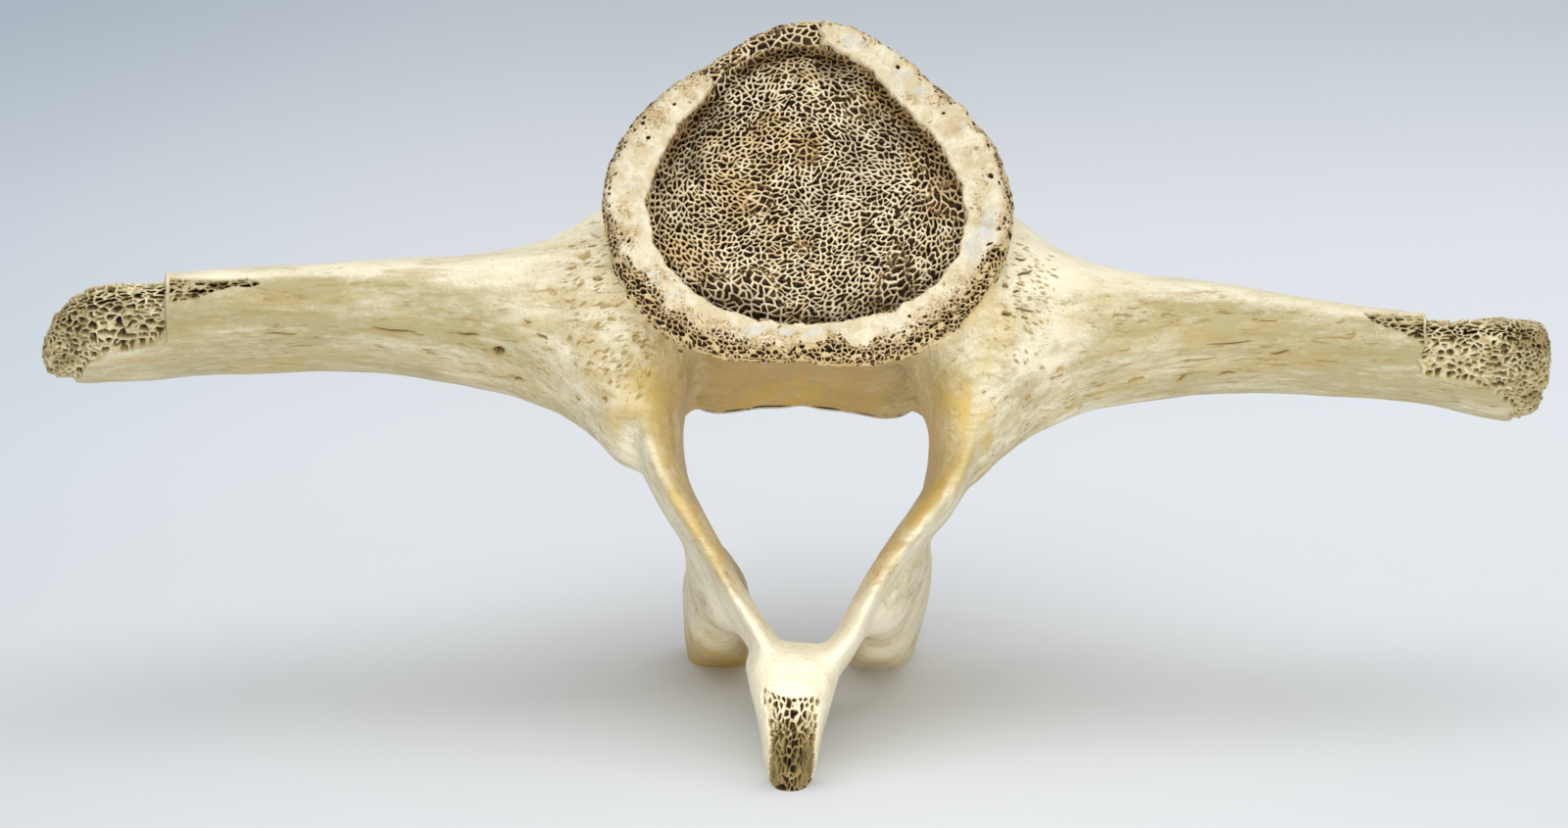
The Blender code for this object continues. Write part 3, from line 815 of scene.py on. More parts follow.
def worn_tips(s):
    """Sawn and worn tips: the shell is gone, and the spongy bone lies a step lower.

    The picture shows how far the spongy bone goes; behind, only the cap of the end has it.
    """
    for side, outline, seed, saw, (low_from, low_to, low), pores, stained in TIPS:
        sign, reach = SIGN[side], PROCESS_END[side][1]
        here, depth_in = s.near(outline, math.inf, (sign * s.X > 140) & (s.Y < 70))
        p = s.points[here]
        along = sign * p[:, 0]
        ragged = 1.8 * noise(p, (5.0, 3.0, 3.0), seed) + 1.0 * noise(p, 1.6, seed + 1)
        depth_in += ragged * (1 - 0.8 * smooth(14, 3, np.abs(s.x[here] - saw)))
        cap = smooth(reach - 8.5, reach - 6.5, along + 1.2 * noise(p, 4.0, seed + 2))
        seen = smooth(-0.85, -0.60, s.front[here])
        share = np.maximum(smooth(-0.5, 1.2, depth_in) * seen, cap)
        fine = smooth(reach - 17, reach - 6, along + 4 * noise(p, 5.0, seed + 6))
        dark, deep = open_spongy(p, seed + 3, *pores)
        dark2, deep2 = open_spongy(p, seed + 4, (1.5, 2.4, 1.2), 0.24, 0.06, 0.35)
        dark, deep = mixed(dark, dark2, fine), mixed(deep, 0.8 * deep2, fine)
        rough = 0.50 * noise(p, (4.0, 3.0, 2.4), seed + 7) + 0.30 * noise(p, 1.2, seed + 8)
        down = 0.9 + low * smooth(low_from, low_to, s.x[here])
        hollow = 1.25 * deep * smooth(-0.5, 1.5, np.maximum(depth_in, 3 * cap))
        blotch = smooth(0.0, 0.5, noise(p, 6.0, seed + 9))
        s.mark(here, share * (down + rough + hollow), share * dark, share,
               share * (stained + 0.40 * fine + 0.45 * blotch))


def chips(s):
    """The chips in the processes' upper edges, each with some larger hollows."""
    for outline, seed, hollows in CHIPS:
        chosen = (s.front > -0.2) & (s.Y < 60) & (s.out > 100)
        here, depth_in = s.near(outline, 5, chosen)
        p = s.points[here]
        depth_in += 0.9 * noise(p, (4.0, 2.0, 2.0), seed)
        share = smooth(-0.4, 0.8, depth_in) * smooth(-0.15, 0.1, s.front[here])
        dark, deep = open_spongy(p, seed + 3, (2.8, 4.0, 1.30), 0.24)
        sunk = 0.9 + 1.2 * deep
        for cx, cy, wide, tall in hollows:
            pit = smooth(1.15, 0.5, np.hypot((s.x[here] - cx) / wide, (s.y[here] - cy) / tall))
            sunk += 1.5 * pit * (0.5 + dark)
            dark = np.maximum(dark, 0.9 * pit * smooth(0.1, 0.4, dark + 0.25))
        s.mark(here, share * sunk, share * dark, share, 0.75 * share)


def spine_face(s):
    """The face of the spine, where it was worn open, and the chip in the left crest."""
    here, depth_in = s.near(SPINE_FACE, 5, (s.Y < 10) & (s.front > 0) & (s.Z < -100))
    p = s.points[here]
    # darker and browner towards the face's lower end
    low = smooth(722, 768, s.y[here])
    dark, deep = open_spongy(p, 43, (1.45, 4.5, 2.4), 0.30, 0.08, 0.0)
    dark2, deep2 = open_spongy(p, 44, (1.25, 3.0, 2.2), 0.12, 0.10, 0.0)
    dark2 = np.maximum(dark2, 0.34 + 0.2 * noise(p, 2.5, 42))
    dark, deep = mixed(dark, dark2, low), mixed(deep, deep2, low)
    depth_in += 1.0 * noise(p, 2.2, 41) + 2.2 * (dark - 0.5)
    share = smooth(-0.3, 1.0, depth_in)
    s.mark(here, share * (0.40 + 1.30 * deep), share * dark, share * (0.50 + 0.45 * low),
           share * (0.10 + 0.90 * low))

    here, depth_in = s.near(CREST_CHIP, 4, (s.front > 0.05) & (s.Y < 30) & (s.Z < -60))
    share = smooth(-0.8, 0.8, depth_in)
    dark, deep = open_spongy(s.points[here], 47, 1.2, 0.5)
    s.mark(here, share * 0.5 * deep, share * dark)


def vessels(s):
    """Vessels' pits, fanning out from the rim over the roots, and where the pinholes are."""
    fan = 0.8 * (smooth(92, 74, s.polar) * smooth(46, 56, s.polar) * smooth(56, 72, s.Y)
                 * (s.Z > -48) * (s.Z < 12))
    for outline in (LEFT_FAN, RIGHT_FAN):
        seen = smooth(-14, 10, inside(s.x, s.y, outline)) * (s.front > 0) * (s.Y < 60)
        fan = np.maximum(fan, seen)
    here = np.flatnonzero(fan > 0.02)
    coil = stacked(s.polar, 62.0 * np.arctan2(s.Z, s.X), s.Y)[here]
    for seed, pitch, rate, radius, deep, dark in FAN_PITS:
        _, middle, cell = network(coil + 0.5 * noises(coil, 4.0, seed, 3), pitch, seed)
        clump = 0.5 + 0.5 * noise(coil, (9.0, 6.0, 9.0), seed + 9)
        there = smooth(0.08, -0.08, cell - rate * fan[here] * (0.45 + 1.1 * clump))
        pit = smooth(radius, radius * 0.30, middle) * there
        s.mark(here, deep * pit, dark * pit)
    near_rim = smooth(26, 8, s.Y) * smooth(42, 48, s.polar) * (s.out < 95)
    s.pins = np.maximum(0.22 + 0.78 * fan, 0.8 * near_rim)


def slits(s):
    """Slits and holes: each where the picture has it, and a few on the hidden sides."""
    for cx, cy, long, wide, slope, deep, dark in SLITS:
        cos, sin = math.cos(math.radians(slope)), math.sin(math.radians(slope))
        dx, dy = s.x - cx, s.y - cy
        near = (np.abs(dx) < long) & (np.abs(dy) < long) & (s.front > 0.1) & (s.Y < 70)
        if not near.any():
            continue
        here = np.flatnonzero(near & (s.depth < s.depth[near].min() + 40))
        along = (dx * cos + dy * sin)[here] / (long / 2)
        over = (dy * cos - dx * sin)[here] + 0.7 * np.sin(3.0 * along + cx)
        taper = np.sqrt(np.clip(1 - along ** 2, 0, 1))
        pit = smooth(1.25, 0.45, np.abs(over) / np.maximum(wide / 2 * taper, 1e-3)) * (taper > 0)
        halo = np.exp(-((along / 1.3) ** 2 + (over / (2.0 * wide)) ** 2))
        s.mark(here, deep * pit, (0.95 if wide < 3.6 else 0.60) * dark * pit,
               stain=0.75 * dark * halo)

    cx, cy, wide, tall, deep = FORAMEN
    away = np.hypot((s.x - cx) / (wide / 2), (s.y - cy) / (tall / 2))
    here = np.flatnonzero((away < 2) & (s.front > 0.1) & (s.Y < 60))
    away = away[here]
    s.mark(here, deep * smooth(1.05, 0.55, away), smooth(1.1, 0.75, away),
           stain=0.7 * smooth(1.8, 0.9, away))
    for place, wide, deep in HIDDEN_HOLES:
        away = ((s.points - place) ** 2).sum(1)
        away = np.sqrt(away - away.min()) / wide
        s.mark(slice(None), deep * smooth(1.05, 0.5, away), smooth(1.1, 0.75, away))


def tinted(s):
    """How bleached and how golden each point is, with upward faces painted lighter as a painted
    top light; the stains of the canal and foot are added.
    """
    X, Y, Z, out, right = s.X, s.Y, s.Z, s.out, s.X > 0
    nx, _, nz = s.normals.T
    way = stacked(X, Z + 76.0)                  # away from the canal's axis
    way /= np.linalg.norm(way, axis=1)[:, None] + 1e-9
    inward = smooth(0.05, -0.5, nx * way[:, 0] + nz * way[:, 1])
    along = smooth(-8, 2, Y) * smooth(96, 82, Y)
    lanes = 0.5 + 0.5 * cloudy(stacked(X, Y * 0.6, Z * 0.35), 5.0, 61)
    fading = smooth(-103, -88, Z)
    floor = smooth(-0.15, -0.5, nz) * smooth(34, 14, out) * smooth(-58, -50, Z)
    floor *= smooth(2, 12, Y)
    from_crest = np.abs(Y - np.interp(Z, (-113, -81, -57, -44), (3, 10, 16, 18)))
    crest = smooth(9, 2, from_crest) * smooth(-40, -52, Z) * fading * (out < 50)
    blotch = smooth(62, 48, out) * smooth(-34, -46, Z) * smooth(-84, -66, Z)
    rim = smooth(8.0, 5.0, Y) * smooth(41, 44, s.polar) * (out < 60) * smooth(-62, -50, Z)
    foot = smooth(50, 62, Y) * smooth(22.0, 3.0, s.level + 5 * noise(s.points, 7.0, 67))
    gold = np.maximum.reduce([
        inward * along * smooth(48, 42, out) * smooth(-36, -50, Z) * fading
        * (0.20 + 1.1 * lanes) * (0.80 + 0.20 * right),
        floor * (0.85 + 0.30 * lanes) * along,
        0.7 * crest * smooth(-0.4, 0.4, noise(s.points, (7, 9, 16), 62)),
        0.13 * smooth(48, 58, Y) * smooth(-60, -72, Z) * (out < 60),
        0.55 * blotch * smooth(0.15, 0.7, noise(s.points, (10, 12, 14), 63)),
        0.7 * rim * (0.6 + 0.4 * lanes),
        foot * (0.24 + 0.20 * lanes) * (1.0 + 2.2 * (X < 0)),
    ])
    damp = 0.35 + 0.65 * smooth(-0.2, 0.5, noise(s.points, (9, 12, 9), 66))
    s.stain = np.maximum.reduce([s.stain, floor * damp, 0.75 * foot * (X < 0)])

    # bleached places, and upward faces made lighter: a painted top light
    bleach_and_top_light = np.maximum.reduce([
        0.17 + 0.10 * smooth(-40, 40, X) - 0.20 * smooth(70, 120, X)
        + 0.66 * smooth(0.25, 0.75, s.up),
        smooth(88, 64, out) * smooth(36, 46, out) * (0.50 + 0.12 * right),
        smooth(-92, -104, Z) * smooth(60, 50, Y),
        smooth(52, 44, out) * smooth(-48, -60, Z) * (0.74 - 0.14 * right * smooth(-74, -64, Z)),
        smooth(40, 60, Y) * (out < 50) * (Z < -70),
    ])
    bleach_and_top_light += 0.20 * cloudy(s.points, (30, 12, 12), 64)
    bleach_and_top_light += 0.12 * noise(s.points, (12, 5, 5), 65)
    return np.clip(bleach_and_top_light, 0, 1) * (1 - 0.7 * gold), gold


def sunken(s):
    """The surface's points with all their marks sunk in, none below the floor."""
    swell = 0.32 * cloudy(s.points, (26, 16, 16), 3) + 0.10 * cloudy(s.points, (9, 5, 5), 9)
    calm = smooth(3.0, 9.0, s.Y) * smooth(83.0, 78.0, s.Y) + (s.out > 58)
    edge = 1.02 * end_radius(np.arctan2(s.Z, s.X))
    covered = (smooth(edge - 1.0, edge - 2.6, s.polar) * smooth(8.0, 5.5, s.Y)
               * smooth(-0.2, -0.6, s.normals[:, 1]))
    sink = s.sink - swell * np.clip(calm, 0.25, 1.0) + 6.0 * covered
    sink *= smooth(0.0, 0.8, s.level)
    settled = resting(s.points - s.normals * sink[:, None])
    on_floor = s.level < 1e-3
    settled[:, 2] = np.maximum(np.where(on_floor, s.level, settled[:, 2]), 0.0)
    return standing(settled)


def cortical(material):
    """The whole cortical surface with its marks, in pieces that stand for the regions."""
    mesh = bone_mesh()
    s = Surface(mesh)
    for marked in (worn_tips, chips, spine_face, vessels, slits):
        marked(s)
    bleach_and_top_light, gold = tinted(s)
    drum = smooth(64, 48, s.polar) * smooth(-62, -48, s.Z)
    moved = sunken(s)
    mesh.vertices.foreach_set("co", moved.astype(np.float32).ravel())
    mesh.update()
    shaded = vertex_normals(mesh)
    marks = stacked(s.pore, s.spongy, s.stain, s.pins)
    tones = stacked(bleach_and_top_light, gold, drum, 1.0)

    totals = read(mesh.polygons, "loop_total", 1, np.int32)
    loops = read(mesh.loops, "vertex_index", 1, np.int32)
    owner = np.repeat(np.arange(len(totals)), totals)
    x, y, z = (np.bincount(owner, s.points[loops, k]) / totals for k in range(3))
    sides = np.abs(x) > PROCESS_CUT
    below = ~sides & (z < ARCH_CUT)
    feet = below & (y > FOOT_CUT) & (z < FOOT_TOP)
    spine = below & (z < SPINE_CUT) & (y < SPINE_BACK)
    for name, chosen, nodes in (
            ("bone_left_process", sides & (x < 0), ("left_transverse_process",)),
            ("bone_right_process", sides & (x > 0), ("right_transverse_process",)),
            ("bone_arch", below & ~feet & ~spine, ("left_neural_arch", "right_neural_arch")),
            ("bone_spine", spine, ("neural_spine",)),
            ("bone_left_foot", feet & (x < 0), ("left_metapophysis",)),
            ("bone_right_foot", feet & (x >= 0), ("right_metapophysis",)),
            ("bone_centrum", ~sides & ~below, ("centrum",))):
        obj = piece(name, moved, loops[chosen[owner]], totals[chosen], marks, material,
                    shaded, tones)
        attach(obj, "root")
        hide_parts(*nodes)
    bpy.data.meshes.remove(mesh)


# ---- the spongy bone of the tail-side end -----------------

def disc_grid(cells):
    """Points over a unit disc on a square grid (Shirley's map): radius and angle."""
    line = np.linspace(-1, 1, cells + 1)
    a, b = (axis.ravel() for axis in np.meshgrid(line, line, indexing="ij"))
    wide = np.abs(a) > np.abs(b)
    with np.errstate(divide="ignore", invalid="ignore"):
        angle = np.where(wide, (math.pi / 4) * (b / a), math.pi / 2 - (math.pi / 4) * (a / b))
    radius = np.where(wide, a, b)
    angle = np.where((a == 0) & (b == 0), 0.0, angle)
    angle = np.where(radius < 0, angle + math.pi, angle)
    return np.abs(radius), angle % (2 * math.pi)


def plate_gap(angle, ragged=0.0):
    """1 within the stretch where the tail-side plate is broken away, 0 outside it."""
    a = np.degrees(angle) % 360 + ragged
    return (smooth(BROKEN_FROM - 0.4, BROKEN_FROM + 0.4, a)
            * smooth(BROKEN_TO + 0.4, BROKEN_TO - 0.4, a))


def spongy_end(material):
    """The drum's end: spongy bone bared in the hole, round the rim and where the plate broke."""
    share, angle = disc_grid(DISC_CELLS)
    edge = 1.02 * end_radius(angle) - 0.75
    edge += 0.30 * noise(stacked(angle * 48, share * 20), 2.2, 70)
    radius = share * edge
    flat = radius[:, None] * stacked(np.cos(angle), np.sin(angle))
    hole, plate = hole_radius(angle), ring_radius(angle)
    covered = (radius > hole + 1.2) & (radius < plate - 2.6) & (plate_gap(angle) < 0.01)
    covered &= (np.abs(np.degrees(angle) - 108.5) > 25.5)

    # low swells of the bared bone, deepest by the plate
    inner = radius / hole
    within = smooth(1.02, 0.97, inner)
    around = 1 - within
    swell = 2.0 * cloudy(flat, (17.0, 13.0), 81, 2) + 0.60 * noise(flat, 5.5, 83)
    above = smooth(-0.4, 0.6, np.sin(angle))
    dip = 3.8 + (1.5 + 1.4 * above) * smooth(0.78, 1.0, inner) * smooth(1.05, 1.0, inner)
    dip -= 0.5 * smooth(0.7, 0.0, inner)
    gap = plate_gap(angle, 0.8 * noise(flat, 3.0, 84))
    band = 1.8 + 0.45 * noise(flat, 4.0, 85) + 1.9 * smooth(0.93, 1.0, share)
    top = 2.2 + 0.6 * noise(flat, 5.0, 86) + 1.6 * smooth(0.9, 1.0, share)
    surface = within * (dip + swell) + around * mixed(band, top, gap)
    surface -= gap * smooth(1.02, 0.86, inner) * smooth(0.80, 0.88, inner)

    # the pores lie along the rim near it and level in the middle
    rimwards = angle + math.pi / 2
    weight = smooth(0.50, 0.92, inner)
    bend = 0.7 * noise(flat, 11.0, 71) + 0.4 * noise(flat, 5.0, 72)
    cos, sin = (mixed(f(2 * bend), f(2 * (rimwards + 0.5 * bend)), weight)
                for f in (np.cos, np.sin))
    turn = 0.5 * np.arctan2(sin, cos)
    solid = flat + 0.30 * noises(flat, 2.2, 73, 2)
    layered = stacked(solid, 1.2 * surface)
    wall, _, cell = network(solid, 1.42, 75, turn, 1.30, 0.09)
    coarse, _, coarse_cell = network(solid, 1.85, 76, turn, 1.2, 0.10)
    outer, _, outer_cell = network(layered, (1.25, 1.25, 1.6), 92, rimwards, 1.15, 0.16)
    deeper, _, number = network(layered + (57.0, 57.0, 0.0), 1.15, 79, turn + 0.6, 1.2)
    second = smooth(0.06, 0.20, deeper)
    big = noise(flat, 12.0, 77) + 0.35 * (weight - 0.5) + 0.9 * gap * around
    big = smooth(0.25, 0.7, big)
    rim_only = around * (1 - gap)
    thick = 0.17 + 0.08 * noise(flat, 2.6, 78)
    hollow = mixed(smooth(thick, thick + 0.14, wall * 1.42),
                   smooth(thick + 0.02, thick + 0.18, coarse * 1.85), big)
    hollow = mixed(hollow, smooth(0.09, 0.22, outer * 1.25) * (outer_cell < 0.92), rim_only)
    cell = mixed(mixed(cell, coarse_cell, big), outer_cell, rim_only)
    worn = smooth(0.05, 0.65, noise(flat, 1.7, 90) + 0.4 * noise(flat, 5.0, 91))
    deep = hollow * (0.75 + 0.65 * cell + 0.6 * second) + 0.55 * worn * (1 - hollow)
    deep *= smooth(1.0, 0.985, share)
    depth = surface + deep + 2.2 * smooth(0.975, 1.0, share)

    # painted shade: darker pores just under the upper part of the plate
    shaded = above * smooth(0.84, 0.97, inner) * within * smooth(-0.6, 0.2, noise(flat, 6.0, 93))
    pore = hollow * (1.0 - 0.26 * (1 - second)) * (0.78 + 0.22 * number)
    pore = np.maximum(pore, 0.36 * shaded)
    # dirt with painted shade: darker by the rim, most under the plate's upper part and in the
    # swells' hollows; the noise patches are dirt
    grime_and_shade = smooth(0.62, 0.98, inner + 0.16 * noise(flat, 7.0, 87)) * within * (1 + 0.4 * above)
    grime_and_shade *= 0.30 + 0.70 * smooth(-0.5, 0.5, noise(flat, 9.0, 88) + 0.8 * np.sin(angle))
    grime_and_shade += 0.50 * smooth(0.10, 1.8, swell) * within
    grime_and_shade += 0.15 * smooth(0.2, 0.8, noise(flat, 12.0, 89))
    grime_and_shade = np.clip(grime_and_shade * (1 - 0.75 * gap) - 0.5 * around, 0, 1)
    warm = smooth(0.4, -1.4, swell) * within + 0.75 * around * (1 - 0.6 * gap)
    marks = stacked(pore, grime_and_shade, np.clip(warm, 0, 1), around * (1 - 0.7 * gap))
    points = stacked(flat[:, 0], depth, flat[:, 1])
    obj = sheet("spongy_end", points, DISC_CELLS + 1, TAIL_SIDE, marks, material, covered)
    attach(obj, "root")
    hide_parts("centrum")


# ---- the plates -------------------------------------------

def drawn_profile(profile, wide, deep):
    """The corners of a profile, and how far along it each is in mm."""
    profile = np.array(profile)
    steps = np.hypot(*(np.diff(profile, axis=0) * (wide, deep)).T)
    return profile.T, np.concatenate([[0], np.cumsum(steps)])


def ring_profile(count):
    """A section of the tail-side plate: shares of its width and of its thickness."""
    corners, run = drawn_profile(RING_PROFILE, RING_WIDTH, PLATE_THICKNESS)
    steps = np.linspace(0, run[-1], count)
    lines = [np.interp(steps, run, corner) for corner in corners]
    for line in lines:
        for _ in range(3):
            line[1:-1] = np.convolve(line, (0.25, 0.5, 0.25), "valid")
    return lines


def tail_plate(material):
    """The ring that is left of the tail-side epiphysis, open where it is broken away."""
    t = np.linspace(0, 1, RING_STEPS)[:, None]
    start, end = math.radians(BROKEN_TO), math.radians(BROKEN_FROM + 360)
    across, down = (np.tile(line, (RING_STEPS, 1)) for line in ring_profile(RING_ROWS))
    angle = start + t * (end - start) + 0 * across
    shape = angle.shape
    outwards = across.ravel() * RING_WIDTH

    def over(size, seed, stretch=1.0, slant=0.0):
        """Noise laid over the ring, its features stretch times longer outwards than round."""
        laid = angle.ravel() * RING_RADIUS
        place = stacked(laid + slant * outwards, outwards / stretch)
        return noise(place, size, seed).reshape(shape)

    near_end = np.minimum(t, 1 - t) * (end - start) * RING_RADIUS
    angle = angle + 1.5 * over(3.0, 91) * smooth(6, 0, near_end) / RING_RADIUS
    closing = smooth(0.0, 1.3, near_end) ** 0.5             # draws each end together
    down = 1.0 + (down - 1.0) * closing

    def round_only(size, seed):
        return noise(angle[:, :1] * RING_RADIUS, size, seed)[:, None]

    below = smooth(0.35, -0.5, np.sin(angle))
    outer = ring_radius(angle) + 0.6 * round_only(3.8, 92) + 0.4 * round_only(1.5, 93)
    outer -= 2.0 * smooth(0.25, 0.75, round_only(6.0, 94)) * (0.35 + 0.65 * below)
    inner = hole_radius(angle) + 0.55 * round_only(4.2, 95)
    inner += 0.30 * round_only(1.9, 86) + 0.12 * round_only(0.9, 90)
    radius = mixed(inner, outer, across)
    flat = stacked((angle * RING_RADIUS).ravel(), radius.ravel())
    crack = bump(angle + 0.012 * (across - 0.5) + 0.008 * over(2.0, 89), 206.5, 0.75)
    crack *= smooth(0.42, 0.7, across)

    # folds that run outwards from the hole, worn smooth
    middle = smooth(0.02, 0.30, across) * smooth(1.02, 0.80, across)
    lobes = over(6.5, 96, 3.0) + 0.7 * over(3.0, 97, 2.0, 0.3)
    sunk = -0.70 * lobes * (0.30 + 0.70 * middle) - 0.26 * over(1.6, 98) - 0.12 * over(0.75, 88)
    folds = over(2.2, 107, 8.0)
    folded = middle * (bump(angle, 150.0, 45.0) + bump(angle, 15.0, 45.0))
    sunk -= 0.85 * folded * folds

    # grainy places where the plate is worn through, and coarse pores by its outer edge
    patch = 0.5 + 0.5 * (over(6.5, 102) + 0.5 * over(3.0, 103))
    worn = smooth(0.74, 1.00, across + 0.26 * (patch - 0.5) + 0.05 * below)
    worn *= (0.55 + 0.45 * below) * (1 - 0.8 * bump(angle, 268.0, 7.0))
    grain = smooth(0.50, 0.90, patch + 0.42 * (across - 0.5)) * smooth(0.05, 0.3, across)
    solid = stacked(flat + 0.3 * noises(flat, 2.0, 99, 2), 4 * down.ravel())
    wall, _, cell = (found.reshape(shape) for found in
                     network(solid, (1.35, 1.15, 1.4), 101, merged=0.05))
    _, near, number = (found.reshape(shape) for found in network(flat, (0.62, 0.62), 104))
    pit = smooth(0.12, 0.26, wall) * smooth(0.05, -0.05, cell - 1.15 * worn)
    dots = smooth(0.40, 0.18, near) * smooth(0.04, -0.04, number - 0.42 * grain - 0.012)
    sunk += 0.85 * pit * (0.6 + 0.6 * cell) + 0.28 * dots
    holes = np.maximum(0.85 * pit, 0.55 * dots)
    for degrees, where, size in RING_HOLES:
        away = turned_by(angle, degrees) * RING_RADIUS
        hole = smooth(1.05, 0.5, np.hypot(away, (across - where) * RING_WIDTH) / size)
        sunk += hole
        holes = np.maximum(holes, hole)
    sunk += crack
    y = down * PLATE_THICKNESS + sunk * np.clip(1.3 - down, 0, 1) * closing + CUT

    # greyer in the dips between the lobes: painted shade
    grey_patch_and_dip_shade = smooth(0.05, 0.65, -lobes + 0.6 * over(2.6, 105)) * (1 - grain)
    grey_patch_and_dip_shade *= smooth(0.10, 0.30, across) * smooth(0.90, 0.62, across)
    # browner where worn, grainy and cracked, on raised lobes, and in the folds' grooves, the last
    # a painted shade
    brown = np.clip(0.85 * worn + 0.75 * grain + 0.35 * smooth(0.80, 1.0, across) + crack
                    + 0.4 * smooth(0.5, -0.6, lobes) * smooth(0.4, 0.8, patch)
                    + 0.55 * folded * smooth(-0.02, -0.40, folds), 0, 1)
    marks = stacked(*(mark.ravel() for mark in (holes, grey_patch_and_dip_shade, brown, 0.25 + 0.6 * grain)))
    points = stacked(*(axis.ravel() for axis in (radius * np.cos(angle), y,
                                                 radius * np.sin(angle))))
    obj = sheet("tail_side_plate", points, RING_STEPS, TAIL_SIDE, marks, material)
    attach(obj, "root")
    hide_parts("caudal_epiphysis")


def head_plate(material):
    """The whole plate on the head side, dished, ridged towards its rim and finely pitted."""
    share, angle = disc_grid(PLATE_CELLS)
    corners, run = drawn_profile(HEAD_PROFILE, 50, 1)
    reach, deep = (np.interp(share * run[-1], run, corner) for corner in corners)
    radius = reach * head_radius(angle)
    flat = radius[:, None] * stacked(np.cos(angle), np.sin(angle))
    ridges = noise(stacked(angle * RING_RADIUS, radius * 0.25), 3.0, 111)
    rings = noise(stacked(radius, angle * 3.0), 2.6, 112)
    sunk = 0.30 * cloudy(flat, 14.0, 113) + 0.22 * ridges * smooth(0.55, 0.85, reach)
    sunk += 0.10 * rings * smooth(0.2, 0.5, reach) + 0.05 * cloudy(flat, 2.0, 114)
    _, middle, cell = network(flat, 1.5, 115)
    pit = smooth(0.30, 0.12, middle) * (cell < 0.10 + 0.2 * smooth(0.7, 0.95, reach))
    sunk = np.maximum(sunk, -0.25) + 0.4 * pit
    y = CENTRUM_LENGTH - deep - sunk * smooth(1.0, 0.93, share) - CUT
    patch = 0.5 + 0.5 * cloudy(flat, 12.0, 116)
    brown = np.clip(0.7 * smooth(0.85, 1.0, reach) + 0.5 * smooth(0.5, 0.9, patch), 0, 1)
    marks = stacked(0.8 * pit, 0.25 * smooth(0.2, 0.8, noise(flat, 7.0, 117)), brown, 0.5)
    points = stacked(flat[:, 0] + HEAD_SHIFT, y, flat[:, 1])
    obj = sheet("head_side_plate", points, PLATE_CELLS + 1, HEAD_SIDE, marks, material)
    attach(obj, "root")
    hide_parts("cranial_epiphysis")


# ---- materials --------------------------------------------

class Value:
    """A number worked out in a material's nodes, to reckon on with + - and *."""

    def __init__(self, nodes, socket):
        self.nodes, self.socket = nodes, socket

    def __add__(self, other):
        return self.nodes.math("ADD", self, other)

    def __mul__(self, other):
        return self.nodes.math("MULTIPLY", self, other)

    def __sub__(self, other):
        return self.nodes.math("SUBTRACT", self, other)

    def opposite(self):
        """1 less this, from 0 to 1."""
        return self.nodes.math("SUBTRACT", 1.0, self, clamp=True)


